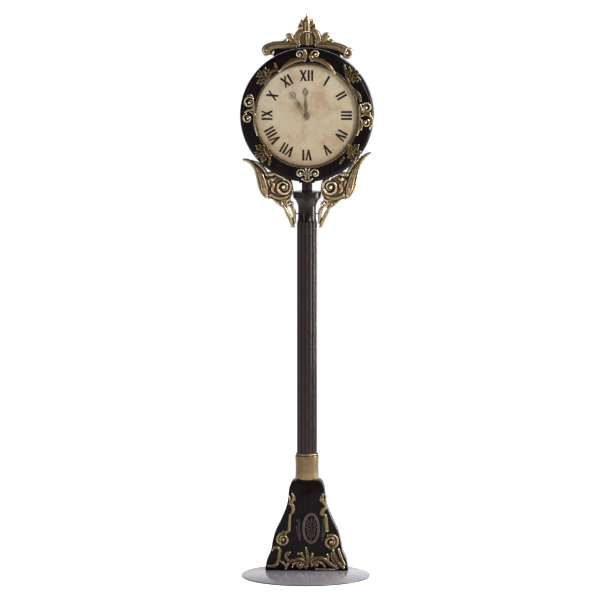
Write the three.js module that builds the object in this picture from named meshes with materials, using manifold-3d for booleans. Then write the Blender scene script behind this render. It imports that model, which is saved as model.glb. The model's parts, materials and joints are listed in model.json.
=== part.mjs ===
// A street clock: a round steel ground plate, a shallow flared pedestal set towards the plate's
// back, a fluted column, and a drum head with one dial, a rear service door and gilt castings.
// Millimetres, +Z up, the dial faces -Y. The origin is the centre of the plate's underside.
import * as THREE from "three";
import { mergeVertices } from "three/addons/utils/BufferGeometryUtils.js";
import Module from "manifold-3d";

const wasm = await Module();
wasm.setup();

// ---- Clearances ----
const GAP = 0.3; // between fixed pieces that touch
const RUNNING = 0.4; // radial play of a turning piece

// ---- Stand ----
const PLATE = { radius: 384, thickness: 8, edge: 1.5 };
const SETBACK = 205; // column axis behind the plate's centre
const DEPTH = 150; // front to back, of the pedestal and of the head
const PEDESTAL = { height: 543, footHalf: 249, topHalf: 74, wall: 8 };
const BOSS = { radius: 18, height: 32, bite: 4 };
const POST = { radius: 31.5, bore: 27, flangeRadius: 62, flangeThick: 8, boltCircle: 50 };
const COLLAR = { radius: 71, lipRadius: 66, lipHeight: 18, height: 162, wall: 9 };
const SHAFT = { radius: 60, length: 1383, flutes: 16, fluteDepth: 4, spigot: 45, spigotLength: 30 };
const CAPITAL = { sleeve: 54, cap: 84, height: 183, flareFoot: 99, flareTop: 147 };
const NECK = 60; // bare post between the capital and the head
const SCREW = { radius: 4, head: 9, sink: 5, sinkPlay: 2, hexHead: 7.5, hexHeight: 5.5 };

// ---- Head ----
const HEAD = { radius: 396, wall: 6, rim: 26, rearCorner: 4, rearFlange: 64 };
const DIAL = { sight: 298, thickness: 4, recess: 20, overlap: 30 };
const BEZEL = { wall: 9, lipWidth: 5, lip: 4 };
const SADDLE = { width: 92, depth: 92, drop: 6, rise: 8 };
const CLAMP = { width: 130, depth: 90, height: 16 };
const LOCKNUT = { radius: 46, height: 18 };
const DOOR = { overlap: 9, thickness: 4, standOff: 0.5 };
const HINGE = { knuckle: 5, pin: 2.5, leafThick: 2.2, halfHeight: 60, leafWidth: 22, edge: 4 };
const LATCH = {
  inset: 30,
  spindle: 5,
  cam: 42,
  camThick: 4,
  camHalf: 8,
  camGap: 2,
  knob: 16,
  knobThick: 3,
  gripHalf: 4,
  gripHeight: 10,
};

// ---- Movement ----
const TRAIN = { module: 2.5, pinion: 12, minuteTeeth: 36, hourTeeth: 48, face: 4 };
const ARBOR = 4;
const STUD_FLANGE = { radius: 7, thick: 2 };
const PIPE = { wall: 2, hourWall: 3 };
const HAND = { thick: 3, hourLength: 168, minuteLength: 172, clear: 6 };
const HAND_NUT = { radius: 10, height: 6, dome: 3, end: 2 };
const FRAME_PLATE = { half: 82, thick: 3, margin: 12, spacing: 25 };
const PILLAR = { radius: 6, tenon: 4 };
const MOTOR = { half: 35, height: 80 };
const CELL = { radius: 16, length: 61, wall: 3, play: 1.5 };
const KNOB = { radius: 14, height: 12, standOff: 4 };
const REST = { minute: 326.4, hour: 357.2 }; // degrees clockwise from 12 on the dial

// ---- Castings ----
const CASTING = 14; // thickness of an ornament laid on a front face
const BRACKET = { thick: 36, foot: 39, rightRise: 45 };
const CREST = { thick: 40, height: 210, armReach: 234, roll: 34 };

// ---- What follows from them ----
const SIDES = { small: 12, post: 20, large: 44, plate: 52 };
const FRONT = -DEPTH / 2;
const BACK = DEPTH / 2;
const SHAFT_FOOT = PEDESTAL.height + COLLAR.height;
const CAPITAL_FOOT = SHAFT_FOOT + SHAFT.length;
const CAPITAL_TOP = CAPITAL_FOOT + CAPITAL.height;
const HEAD_FOOT = CAPITAL_TOP + NECK;
const HEAD_CENTRE = HEAD_FOOT + HEAD.radius;
const MOUTH = DIAL.sight + BEZEL.wall + GAP;
const LIP = DIAL.sight + BEZEL.wall + BEZEL.lipWidth;
const DOORWAY = HEAD.radius - HEAD.wall - HEAD.rearFlange;
const DOOR_RADIUS = DOORWAY + DOOR.overlap;
const DIAL_FRONT = FRONT + DIAL.recess;
const DIAL_BACK = DIAL_FRONT + DIAL.thickness;
const CENTRES = (TRAIN.module * (TRAIN.pinion + TRAIN.minuteTeeth)) / 2;
const THROUGH = 2 * DEPTH; // longer than anything a through hole passes
const FINE_MODULE = (2 * CENTRES) / (TRAIN.pinion + TRAIN.hourTeeth);
const HOUR_WHEEL_FRONT = DIAL_BACK + TRAIN.face;
const MINUTE_WHEEL_FRONT = HOUR_WHEEL_FRONT + TRAIN.face + FRAME_PLATE.thick;
const FRAME_FRONT = MINUTE_WHEEL_FRONT + TRAIN.face + STUD_FLANGE.thick + FRAME_PLATE.thick;
const FRAME_REAR = FRAME_FRONT + FRAME_PLATE.thick + FRAME_PLATE.spacing;
const FRAME_BACK = FRAME_REAR + FRAME_PLATE.thick;
const HOUR_HAND_FRONT = DIAL_FRONT - HAND.clear - HAND.thick;
const MINUTE_HAND_FRONT = HOUR_HAND_FRONT - HAND.clear;
const CANNON = ARBOR + GAP + PIPE.wall;
const HOUR_BORE = CANNON + RUNNING;
const HOUR_PIPE = HOUR_BORE + PIPE.hourWall;

const FINISH = {
  black: { color: 0x2a1e1f, roughness: 0.3, metalness: 0.15 },
  gilt: { color: 0x8a7450, roughness: 0.38, metalness: 0.85 },
  cream: { color: 0xd5cbb0, roughness: 0.6, metalness: 0 },
  plate: { color: 0xb5b0b8, roughness: 0.22, metalness: 1 },
  brass: { color: 0x6d6042, roughness: 0.4, metalness: 0.9 },
  zinc: { color: 0x9a9a98, roughness: 0.5, metalness: 0.9 },
  plastic: { color: 0x202124, roughness: 0.5, metalness: 0 },
};

const clock = new THREE.Group();
const stand = new THREE.Group();
stand.position.set(0, SETBACK, PLATE.thickness);
clock.add(stand);
const head = new THREE.Group();
head.position.z = HEAD_CENTRE;
stand.add(head);

// ---- Making and joining solids ----
function toSolid(geometry) {
  const bare = geometry.index ? geometry.toNonIndexed() : geometry.clone();
  bare.deleteAttribute("normal");
  bare.deleteAttribute("uv");
  const merged = mergeVertices(bare, 1e-4);
  const mesh = new wasm.Mesh({
    numProp: 3,
    vertProperties: merged.attributes.position.array,
    triVerts: new Uint32Array(merged.index.array),
  });
  return new wasm.Manifold(mesh);
}

function toGeometry(solid) {
  const mesh = solid.getMesh();
  const positions = new THREE.BufferAttribute(new Float32Array(mesh.vertProperties), 3);
  const geometry = new THREE.BufferGeometry().setAttribute("position", positions);
  geometry.setIndex(new THREE.BufferAttribute(mesh.triVerts, 1));
  return geometry;
}

function join(...pieces) {
  return toGeometry(pieces.map(toSolid).reduce((sum, piece) => sum.add(piece)));
}

function cut(body, ...tools) {
  return toGeometry(tools.map(toSolid).reduce((rest, tool) => rest.subtract(tool), toSolid(body)));
}

function common(a, b) {
  return toGeometry(toSolid(a).intersect(toSolid(b)));
}

function add(parent, name, geometry, finish) {
  const shaded = geometry.index ? geometry.toNonIndexed() : geometry;
  shaded.computeVertexNormals();
  const mesh = new THREE.Mesh(shaded, new THREE.MeshStandardMaterial(FINISH[finish]));
  mesh.name = name;
  parent.add(mesh);
  return mesh;
}

// A solid turned about the Y axis from [radius, y] points; it ends on the axis or closes on itself.
function turnedY(profile, sides) {
  const points = profile.map(([r, y]) => new THREE.Vector2(r, y));
  if (THREE.ShapeUtils.area(points) < 0) points.reverse();
  const onAxis = points.some((p) => p.x === 0);
  if (onAxis) {
    while (points[0].x !== 0 || points[points.length - 1].x !== 0) points.push(points.shift());
  } else {
    points.push(points[0].clone());
  }
  return new THREE.LatheGeometry(points, sides);
}

function turnedZ(profile, sides) {
  return turnedY(profile, sides).rotateX(Math.PI / 2);
}

function rodY(radius, y0, y1, sides = SIDES.small) {
  return turnedY([[0, y0], [radius, y0], [radius, y1], [0, y1]], sides);
}

function rodZ(radius, z0, z1, sides = SIDES.small) {
  return turnedZ([[0, z0], [radius, z0], [radius, z1], [0, z1]], sides);
}

function rodX(radius, x0, x1) {
  return rodY(radius, x0, x1).rotateZ(-Math.PI / 2);
}

function ringY(inner, outer, y0, y1, sides) {
  return turnedY([[inner, y0], [outer, y0], [outer, y1], [inner, y1]], sides);
}

function block(x0, x1, y0, y1, z0, z1) {
  const geometry = new THREE.BoxGeometry(x1 - x0, y1 - y0, z1 - z0);
  return geometry.translate((x0 + x1) / 2, (y0 + y1) / 2, (z0 + z1) / 2);
}

// A flat piece whose outline is drawn as seen from the front, in [x, z] points.
function frontPiece(outline, y0, y1, holes = []) {
  const shape = new THREE.Shape(outline.map(([x, z]) => new THREE.Vector2(x, z)));
  for (const hole of holes) {
    shape.holes.push(new THREE.Path(hole.map(([x, z]) => new THREE.Vector2(x, z))));
  }
  const geometry = new THREE.ExtrudeGeometry(shape, { depth: y1 - y0, bevelEnabled: false });
  return geometry.rotateX(Math.PI / 2).translate(0, y1, 0);
}

function arc(x, z, radius, from, to, steps) {
  return Array.from({ length: steps + 1 }, (_, i) => {
    const angle = THREE.MathUtils.degToRad(from + ((to - from) * i) / steps);
    return [x + radius * Math.cos(angle), z + radius * Math.sin(angle)];
  });
}

function disc(x, z, radius, y0, y1, sides = 14) {
  return frontPiece(arc(x, z, radius, 0, 360 - 360 / sides, sides - 1), y0, y1);
}

// A tapering band along a smooth line: widths are half widths at its two ends and its middle.
function ribbon(line, widths, y0, y1, steps = 10) {
  const curve = new THREE.SplineCurve(line.map(([x, z]) => new THREE.Vector2(x, z)));
  const left = [];
  const right = [];
  for (let i = 0; i <= steps; i++) {
    const t = i / steps;
    const [start, middle, end] = widths;
    const half = t < 0.5 ? start + (middle - start) * 2 * t : middle + (end - middle) * (2 * t - 1);
    const p = curve.getPoint(t);
    const along = curve.getTangent(t);
    left.push([p.x - along.y * half, p.y + along.x * half]);
    right.unshift([p.x + along.y * half, p.y - along.x * half]);
  }
  return frontPiece([...left, ...right], y0, y1);
}

function mirrored(points) {
  return points.map(([x, z]) => [-x, z]);
}

function drum(radius) {
  return rodY(radius, -DEPTH, DEPTH, SIDES.large);
}

// ---- Stand ----
function flangeBoltPlaces() {
  const reach = POST.boltCircle * Math.SQRT1_2;
  return [[reach, reach], [-reach, reach], [-reach, -reach], [reach, -reach]];
}

function bossCentre() {
  return PEDESTAL.footHalf - PEDESTAL.wall - BOSS.radius + BOSS.bite;
}

function basePlate() {
  const { radius, thickness, edge } = PLATE;
  const round = turnedZ([[0, 0], [radius - edge, 0], [radius, edge], [radius, thickness - edge],
    [radius - edge, thickness], [0, thickness]], SIDES.plate);
  const hole = SCREW.radius + GAP;
  const top = thickness + 1;
  const bolts = flangeBoltPlaces().map(([x, y]) => rodZ(hole, -1, top).translate(x, y + SETBACK, 0));
  const sink = turnedZ([[0, -1], [SCREW.head + SCREW.sinkPlay, -1], [hole, SCREW.sink + 1],
    [hole, top], [0, top]], SIDES.small);
  const sinks = [-1, 1].map((side) => sink.clone().translate(side * bossCentre(), SETBACK, 0));
  add(clock, "base_plate", cut(round, ...bolts, ...sinks), "plate");
}

function corePost() {
  const top = HEAD_FOOT + HEAD.wall + CLAMP.height + LOCKNUT.height + SCREW.sink;
  const profile = [[POST.bore, GAP], [POST.flangeRadius, GAP], [POST.flangeRadius, POST.flangeThick],
    [POST.radius, POST.flangeThick], [POST.radius, top], [POST.bore, top]];
  const hole = rodZ(SCREW.radius + GAP, -1, POST.flangeThick + 1);
  const holes = flangeBoltPlaces().map(([x, y]) => hole.clone().translate(x, y, 0));
  add(stand, "core_post", cut(turnedZ(profile, SIDES.post), ...holes), "black");
}

function flangeBolts() {
  flangeBoltPlaces().forEach(([x, y], i) => {
    const under = POST.flangeThick + GAP;
    const top = under + SCREW.hexHeight;
    const hex = turnedZ([[0, under], [SCREW.hexHead, under], [SCREW.hexHead, top], [0, top]], 6);
    const bolt = join(hex, rodZ(SCREW.radius, 1 - PLATE.thickness, under + 1));
    add(stand, `flange_bolt_${i + 1}`, bolt, "zinc").position.set(x, y, 0);
  });
}

// Half width of the pedestal against height: [share of the flare, share of the height].
const PEDESTAL_LINE = [[1, 0], [0.95, 0.105], [0.8, 0.215], [0.745, 0.326], [0.674, 0.414],
  [0.571, 0.481], [0.469, 0.547], [0.383, 0.613], [0.297, 0.68], [0.229, 0.768], [0.183, 0.912],
  [0.08, 0.989], [0, 1]];

function pedestalHalf(share) {
  return PEDESTAL.topHalf + (PEDESTAL.footHalf - PEDESTAL.topHalf) * share;
}

function pedestalOutline(inset, foot, top) {
  const height = top - foot;
  const edge = PEDESTAL_LINE.map(([share, rise]) => [pedestalHalf(share) - inset, foot + height * rise]);
  return [...edge, ...mirrored(edge).reverse()];
}

function pedestalShell() {
  const { wall, height } = PEDESTAL;
  const body = frontPiece(pedestalOutline(0, GAP, height), FRONT, BACK);
  const hollow = frontPiece(pedestalOutline(wall, -wall, height - wall), FRONT + wall, BACK - wall);
  const postHole = rodZ(POST.radius + GAP, height / 2, height + wall, SIDES.post);
  const boss = rodZ(BOSS.radius, GAP, BOSS.height);
  const tap = rodZ(SCREW.radius + GAP, -1, BOSS.height - SCREW.radius);
  const bosses = [-1, 1].map((side) => boss.clone().translate(side * bossCentre(), 0, 0));
  const taps = [-1, 1].map((side) => tap.clone().translate(side * bossCentre(), 0, 0));
  add(stand, "pedestal_shell", cut(join(cut(body, hollow, postHole), ...bosses), ...taps), "black");
}

function pedestalScrews() {
  const end = PLATE.thickness + BOSS.height - 10;
  const profile = [[0, GAP], [SCREW.head, GAP], [SCREW.radius, SCREW.sink], [SCREW.radius, end], [0, end]];
  for (const [name, side] of [["left", -1], ["right", 1]]) {
    const screw = add(clock, `pedestal_screw_${name}`, turnedZ(profile, SIDES.small), "zinc");
    screw.position.set(side * bossCentre(), SETBACK, 0);
  }
}

function collar() {
  const { radius, lipRadius, lipHeight, height, wall } = COLLAR;
  const foot = PEDESTAL.height + GAP;
  const top = PEDESTAL.height + height;
  const bore = POST.radius + GAP;
  const profile = [[radius - wall, foot], [radius, foot], [radius, top - lipHeight],
    [lipRadius, top - lipHeight], [lipRadius, top],
    [SHAFT.spigot, top], [SHAFT.spigot, top + SHAFT.spigotLength],
    [bore, top + SHAFT.spigotLength], [bore, top - lipHeight], [radius - wall, top - 2 * lipHeight]];
  add(stand, "collar", turnedZ(profile, SIDES.post), "gilt");
}

function columnShaft() {
  const { radius, flutes, fluteDepth } = SHAFT;
  const reliefs = [0, 0, fluteDepth, fluteDepth];
  const outline = Array.from({ length: flutes * reliefs.length }, (_, i) => {
    const angle = (2 * Math.PI * i) / (flutes * reliefs.length);
    const r = radius - reliefs[i % reliefs.length];
    return [r * Math.cos(angle), r * Math.sin(angle)];
  });
  const foot = SHAFT_FOOT + GAP;
  const shape = new THREE.Shape(outline.map(([x, y]) => new THREE.Vector2(x, y)));
  const bar = new THREE.ExtrudeGeometry(shape, { depth: CAPITAL_FOOT - foot, bevelEnabled: false });
  const bore = rodZ(SHAFT.spigot + GAP, foot - 1, CAPITAL_FOOT + 1, SIDES.post);
  add(stand, "column_shaft", cut(bar.translate(0, 0, foot), bore), "black");
}

function capital() {
  const { cap, flareFoot, flareTop } = CAPITAL;
  const bore = POST.radius + GAP;
  const foot = CAPITAL_FOOT + GAP;
  const profile = [[bore, foot - SHAFT.spigotLength], [SHAFT.spigot, foot - SHAFT.spigotLength],
    [SHAFT.spigot, foot], [CAPITAL.sleeve, foot], [CAPITAL.sleeve, CAPITAL_FOOT + flareFoot],
    [(CAPITAL.sleeve + cap) / 2, CAPITAL_FOOT + (flareFoot + flareTop) / 2], [cap, CAPITAL_FOOT + flareTop],
    [cap, CAPITAL_TOP], [bore, CAPITAL_TOP]];
  const taps = [-1, 1].map((side) => rodX(SCREW.radius + GAP, 0, cap)
    .rotateZ(side < 0 ? Math.PI : 0).translate(0, 0, bracketBoltHeight()));
  add(stand, "capital", cut(turnedZ(profile, SIDES.post), ...taps), "black");
}

// ---- Brackets under the head ----
function bracketBoltHeight() {
  return CAPITAL_FOOT + CAPITAL.flareFoot / 2;
}

// The right-hand outline: it seats on the drum, and its foot lies beside sleeve and shaft.
function bracketOutline(tipRise) {
  const inner = SHAFT.radius + GAP;
  const besideSleeve = CAPITAL.sleeve + GAP;
  const ledge = CAPITAL_FOOT + (inner > besideSleeve ? GAP : 0); // on the shaft, or under the sleeve
  const footZ = CAPITAL_FOOT - BRACKET.foot;
  const drop = HEAD_FOOT - footZ;
  const reach = HEAD.radius - inner;
  const under = ([across, down]) => [inner + reach * across, HEAD_FOOT - drop * down];
  const beside = ([across, up], rise) => [HEAD.radius * across, HEAD_FOOT + HEAD.radius * up + rise];
  const outer = [[0.075, 1], [0.066, 0.94], [0.08, 0.84], [0.12, 0.76], [0.165, 0.66],
    [0.22, 0.556], [0.29, 0.51], [0.38, 0.445], [0.45, 0.4], [0.55, 0.36], [0.61, 0.28],
    [0.65, 0.19], [0.68, 0.06]].map(under);
  const arm = [[[0.745, 0.046], 0], [[0.77, 0.15], 0], [[0.85, 0.26], 0.5], [[0.99, 0.32], 1],
    [[1.0, 0.36], 1], [[0.85, 0.385], 0.8]].map(([point, share]) => beside(point, tipRise * share));
  const hug = arc(0, HEAD_CENTRE, HEAD.radius, -36, -74, 8);
  const top = CAPITAL_TOP + SCREW.head;
  const besideCap = CAPITAL.cap + SHAFT.fluteDepth;
  const flareTop = CAPITAL_FOOT + CAPITAL.flareTop - 12;
  const flareFoot = CAPITAL_FOOT + CAPITAL.flareFoot - 6;
  return [[inner, footZ], ...outer, ...arm, ...hug, [besideCap, top], [besideCap, flareTop],
    [besideSleeve, flareFoot], [besideSleeve, ledge], [inner, ledge]];
}

function bracket(name, side, rise) {
  const half = BRACKET.thick / 2;
  const sink = 1.5 * CAPITAL.sleeve;
  const outline = bracketOutline(rise);
  const plate = frontPiece(side < 0 ? mirrored(outline) : outline, -half, half);
  const placed = (rod) => rod.rotateZ(side < 0 ? Math.PI : 0).translate(0, 0, bracketBoltHeight());
  const hole = placed(rodX(SCREW.radius + GAP, 0, HEAD.radius));
  const counterbore = placed(rodX(SCREW.head + GAP, sink, HEAD.radius));
  const body = drum(HEAD.radius + GAP).translate(0, 0, HEAD_CENTRE);
  add(stand, `bracket_${name}`, cut(plate, hole, counterbore, body), "gilt");
  const neck = rodX(SCREW.radius, POST.radius + SCREW.radius, sink + 1);
  const bolt = join(neck, rodX(SCREW.head, sink + GAP, sink + GAP + SCREW.hexHeight));
  add(stand, `bracket_bolt_${name}`, placed(bolt), "gilt");
}

// ---- Head ----
function headSaddle() {
  const { width, depth, drop, rise } = SADDLE;
  const foot = -HEAD.radius - drop;
  const pad = block(-width / 2, width / 2, -depth / 2, depth / 2, foot, -HEAD.radius + rise);
  const post = rodZ(POST.radius + GAP, -HEAD.radius - 2 * drop, 0, SIDES.post);
  add(head, "head_saddle", cut(pad, drum(HEAD.radius + GAP), post), "black");
}

function headClamp() {
  const { width, depth, height } = CLAMP;
  const inside = HEAD.radius - HEAD.wall - GAP;
  const top = -HEAD.radius + HEAD.wall + height;
  const pad = block(-width / 2, width / 2, -depth / 2, depth / 2, -HEAD.radius, top);
  const post = rodZ(POST.radius + GAP, -HEAD.radius - 1, 0, SIDES.post);
  add(head, "head_clamp_plate", cut(common(pad, drum(inside)), post), "zinc");
  const nut = turnedZ([[POST.radius + GAP, top + GAP], [LOCKNUT.radius, top + GAP],
    [LOCKNUT.radius, top + LOCKNUT.height], [POST.radius + GAP, top + LOCKNUT.height]], SIDES.post);
  add(head, "post_locknut", nut, "zinc");
}

function headCase() {
  const { radius, wall, rim } = HEAD;
  const bend = (r, y, size, from, to) => arc(r, y, size, from, to, 4);
  const rear = BACK - wall - GAP;
  const outside = [[MOUTH, FRONT], ...bend(radius - rim, FRONT + rim, rim, -90, 0), [radius, rear]];
  const inside = [[radius - wall, rear], ...bend(radius - rim, FRONT + rim, rim - wall, 0, -90),
    [MOUTH + wall, FRONT + wall], [MOUTH + wall, DIAL_FRONT - GAP], [MOUTH, DIAL_FRONT - GAP]];
  const shell = turnedY([...outside, ...inside], SIDES.large);
  const post = rodZ(POST.radius + GAP, -radius - 1, -radius + 3 * wall, SIDES.post);
  add(head, "head_case", cut(shell, post), "black");
}

function headBackRing() {
  const { radius, wall, rearCorner } = HEAD;
  const ring = turnedY([[DOORWAY, BACK - wall], [radius, BACK - wall], [radius, BACK - rearCorner],
    [radius - rearCorner, BACK], [DOORWAY, BACK]], SIDES.large);
  add(head, "head_back_ring", ring, "black");
}

function dialAndBezel() {
  const { sight, recess } = DIAL;
  const back = sight + BEZEL.wall;
  const lip = FRONT - GAP;
  const bezel = turnedY([[sight, FRONT - BEZEL.lip], [LIP, FRONT - BEZEL.lip], [LIP, lip], [back, lip],
    [back, DIAL_FRONT - GAP], [sight, DIAL_FRONT - GAP]], SIDES.large);
  add(head, "bezel", bezel, "gilt");
  const edge = sight + DIAL.overlap;
  add(head, "dial", ringY(HOUR_PIPE + 1, edge, DIAL_FRONT, DIAL_BACK, SIDES.large), "cream");
  const retainer = ringY(sight + GAP, edge, DIAL_BACK + GAP, DIAL_BACK + recess / 4, SIDES.large);
  add(head, "dial_retainer_ring", retainer, "zinc");
}

// ---- Rear door, its hinge and its latch ----
const DOOR_FRONT = BACK + DOOR.standOff;
const DOOR_BACK = DOOR_FRONT + DOOR.thickness;
const HINGE_X = DOOR_RADIUS + 2 * HINGE.knuckle + HINGE.edge;
const HINGE_Y = DOOR_BACK + HINGE.knuckle + GAP;
const HINGE_MIDDLE = HINGE.halfHeight / 3; // half height of the door's knuckle
const LATCH_X = LATCH.inset - DOORWAY;

function backDoor() {
  const panel = rodY(DOOR_RADIUS, DOOR_FRONT, DOOR_BACK, SIDES.large);
  const hole = rodY(LATCH.spindle + RUNNING, DOOR_FRONT - 1, DOOR_BACK + 1).translate(LATCH_X, 0, 0);
  add(head, "back_door", cut(panel, hole), "black");
}

function hingeRod(radius, z0, z1) {
  return rodZ(radius, z0, z1).translate(HINGE_X, HINGE_Y, 0);
}

function hingePinHole() {
  return hingeRod(HINGE.pin + GAP, -HINGE.halfHeight - 1, HINGE.halfHeight + 1);
}

function hingeLeafDoor() {
  const { knuckle, leafThick, halfHeight, leafWidth, edge } = HINGE;
  const far = HINGE_X - 2 * knuckle - leafWidth;
  const y0 = DOOR_BACK + GAP;
  const y1 = DOOR_BACK + leafThick;
  const middle = HINGE_MIDDLE - GAP;
  const tab = block(far, HINGE_X, y0, y1, -middle, middle);
  const plate = block(far, HINGE_X - knuckle - edge, y0, y1, -halfHeight, halfHeight);
  const leaf = join(tab, plate, hingeRod(knuckle, -middle, middle));
  add(head, "hinge_leaf_door", cut(leaf, hingePinHole()), "black");
}

function hingeLeafCase() {
  const { knuckle, leafThick, halfHeight, leafWidth, edge } = HINGE;
  const y0 = BACK + GAP;
  const near = HINGE_X + knuckle;
  const plate = block(near + GAP, near + leafWidth, y0, y0 + leafThick, -halfHeight, halfHeight);
  const arms = [[-halfHeight, -HINGE_MIDDLE], [HINGE_MIDDLE, halfHeight]].flatMap(([z0, z1]) => {
    const tab = block(HINGE_X + GAP, near + edge, y0, HINGE_Y, z0, z1);
    return [tab, hingeRod(knuckle, z0, z1)];
  });
  add(head, "hinge_leaf_case", cut(join(plate, ...arms), hingePinHole()), "black");
}

function hingePin() {
  const { pin, halfHeight } = HINGE;
  add(head, "hinge_pin", hingeRod(pin, -halfHeight - pin, halfHeight + pin), "zinc");
}

function doorLatch() {
  const { spindle, cam, camThick, camHalf, camGap, knob, knobThick, gripHalf, gripHeight } = LATCH;
  const camBack = BACK - HEAD.wall - camGap;
  const camFront = camBack - camThick;
  const rear = DOOR_BACK + GAP;
  const latch = join(
    block(-camHalf, camHalf, camFront, camBack, -camHalf, cam),
    rodY(spindle, camFront, rear + 1),
    rodY(knob, rear, rear + knobThick),
    block(-gripHalf, gripHalf, rear, rear + gripHeight, -knob, knob),
  );
  add(head, "door_latch", latch.translate(LATCH_X, 0, 0), "zinc");
}

// ---- Movement ----
function wheel(module, teeth, halfStep, y0, y1) {
  const pitch = (module * teeth) / 2;
  const root = pitch - 1.2 * module;
  const tip = pitch + 0.9 * module;
  const step = (2 * Math.PI) / teeth;
  const flank = [[-0.33, root], [-0.12, tip], [0.12, tip], [0.33, root]];
  const outline = Array.from({ length: teeth }, (_, i) => flank.map(([share, r]) => {
    const angle = (i + share + (halfStep ? 0.5 : 0)) * step;
    return [r * Math.sin(-angle), r * Math.cos(angle)];
  })).flat();
  return frontPiece(outline, y0, y1);
}

const HOUR_WHEEL_BACK = HOUR_WHEEL_FRONT + TRAIN.face;
const MINUTE_WHEEL_BACK = MINUTE_WHEEL_FRONT + TRAIN.face;
const KNOB_FRONT = FRAME_BACK + KNOB.standOff;
const KNOB_BACK = KNOB_FRONT + KNOB.height;

function centreArbor() {
  const front = MINUTE_HAND_FRONT - HAND_NUT.height + HAND_NUT.end;
  add(head, "centre_arbor", rodY(ARBOR, front, KNOB_BACK - GAP), "zinc");
  const knob = ringY(ARBOR + GAP, KNOB.radius, KNOB_FRONT, KNOB_BACK, SIDES.small);
  add(head, "setting_knob", knob, "plastic");
}

function cannonPinion() {
  const pipe = rodY(CANNON, MINUTE_HAND_FRONT, MINUTE_WHEEL_BACK - 1);
  const teeth = wheel(TRAIN.module, TRAIN.pinion, true, MINUTE_WHEEL_FRONT, MINUTE_WHEEL_BACK);
  const bore = rodY(ARBOR + GAP, -THROUGH, THROUGH);
  add(head, "cannon_pinion", cut(join(pipe, teeth), bore), "brass");
}

function hourWheel() {
  const pipe = ringY(HOUR_BORE, HOUR_PIPE, HOUR_HAND_FRONT, HOUR_WHEEL_BACK, SIDES.small);
  add(head, "hour_pipe", pipe, "brass");
  const teeth = wheel(FINE_MODULE, TRAIN.hourTeeth, true, HOUR_WHEEL_FRONT, HOUR_WHEEL_BACK);
  add(head, "hour_wheel", cut(teeth, rodY(HOUR_PIPE + GAP, -THROUGH, THROUGH)), "brass");
}

// The minute wheel is one piece with the pinion that drives the hour wheel.
function minuteWheel() {
  const large = wheel(TRAIN.module, TRAIN.minuteTeeth, false, MINUTE_WHEEL_FRONT, MINUTE_WHEEL_BACK);
  const small = wheel(FINE_MODULE, TRAIN.pinion, false, HOUR_WHEEL_FRONT, HOUR_WHEEL_BACK);
  const hub = rodY(STUD_FLANGE.radius, HOUR_WHEEL_BACK - 1, MINUTE_WHEEL_FRONT + 1);
  const bore = rodY(ARBOR + RUNNING, -THROUGH, THROUGH);
  const made = cut(join(large, small, hub), bore);
  add(head, "minute_wheel", made, "brass").position.z = -CENTRES;
}

function motionStud() {
  const flangeBack = FRAME_FRONT - GAP;
  const stud = join(rodY(ARBOR, HOUR_WHEEL_FRONT - 1, FRAME_FRONT + FRAME_PLATE.thick),
    rodY(STUD_FLANGE.radius, flangeBack - STUD_FLANGE.thick, flangeBack));
  add(head, "motion_stud", stud, "zinc").position.z = -CENTRES;
}

function pillarPlaces() {
  const x = FRAME_PLATE.half - FRAME_PLATE.margin;
  const high = frameTop() - FRAME_PLATE.margin;
  const low = frameFoot() + FRAME_PLATE.margin;
  return [[x, high], [-x, high], [-x, low], [x, low]];
}

function frameTop() {
  return CENTRES;
}

function frameFoot() {
  return -CENTRES - (TRAIN.module * TRAIN.minuteTeeth) / 2 + FRAME_PLATE.thick;
}

function movementFrame() {
  const { half, thick } = FRAME_PLATE;
  const tenon = rodY(PILLAR.tenon + GAP, -THROUGH, THROUGH);
  const tenons = pillarPlaces().map(([x, z]) => tenon.clone().translate(x, 0, z));
  const centre = rodY(ARBOR + RUNNING, -THROUGH, THROUGH);
  const studHole = rodY(ARBOR + GAP, -THROUGH, THROUGH).translate(0, 0, -CENTRES);
  const front = block(-half, half, FRAME_FRONT, FRAME_FRONT + thick, frameFoot(), frameTop());
  add(head, "movement_front_plate", cut(front, centre, studHole, ...tenons), "brass");
  const rear = block(-half, half, FRAME_REAR, FRAME_BACK, frameFoot(), frameTop());
  add(head, "movement_rear_plate", cut(rear, centre, ...tenons), "brass");
  pillarPlaces().forEach(([x, z], i) => {
    const shank = rodY(PILLAR.radius, DIAL_BACK + GAP, FRAME_FRONT - GAP);
    const pillar = join(shank, rodY(PILLAR.tenon, FRAME_FRONT - 1, FRAME_BACK + 2));
    add(head, `movement_pillar_${i + 1}`, pillar.translate(x, 0, z), "brass");
  });
}

function motorCase() {
  const front = FRAME_FRONT + FRAME_PLATE.thick + GAP;
  const foot = MOTOR.half - MOTOR.height;
  const motor = block(-MOTOR.half, MOTOR.half, front, FRAME_REAR - GAP, foot, MOTOR.half);
  add(head, "motor_case", cut(motor, rodY(ARBOR + RUNNING, -THROUGH, THROUGH)), "plastic");
}

function battery() {
  const { radius, length, wall, play } = CELL;
  const wellHalf = length / 2 + play;
  const wellRise = radius + play;
  const half = wellHalf + wall;
  const rise = wellRise + wall;
  const depth = 2 * wellRise + wall;
  const z = frameFoot() + rise;
  const y0 = FRAME_BACK + GAP;
  const box = block(-half, half, y0, y0 + depth - radius / 2, z - rise, z + rise);
  const well = block(-wellHalf, wellHalf, y0 + wall, y0 + depth, z - wellRise, z + wellRise);
  add(head, "battery_holder", cut(box, well), "plastic");
  const cell = rodX(radius, -length / 2, length / 2).translate(0, y0 + wall + radius + GAP, z);
  add(head, "battery_cell", cell, "zinc");
}

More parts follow.
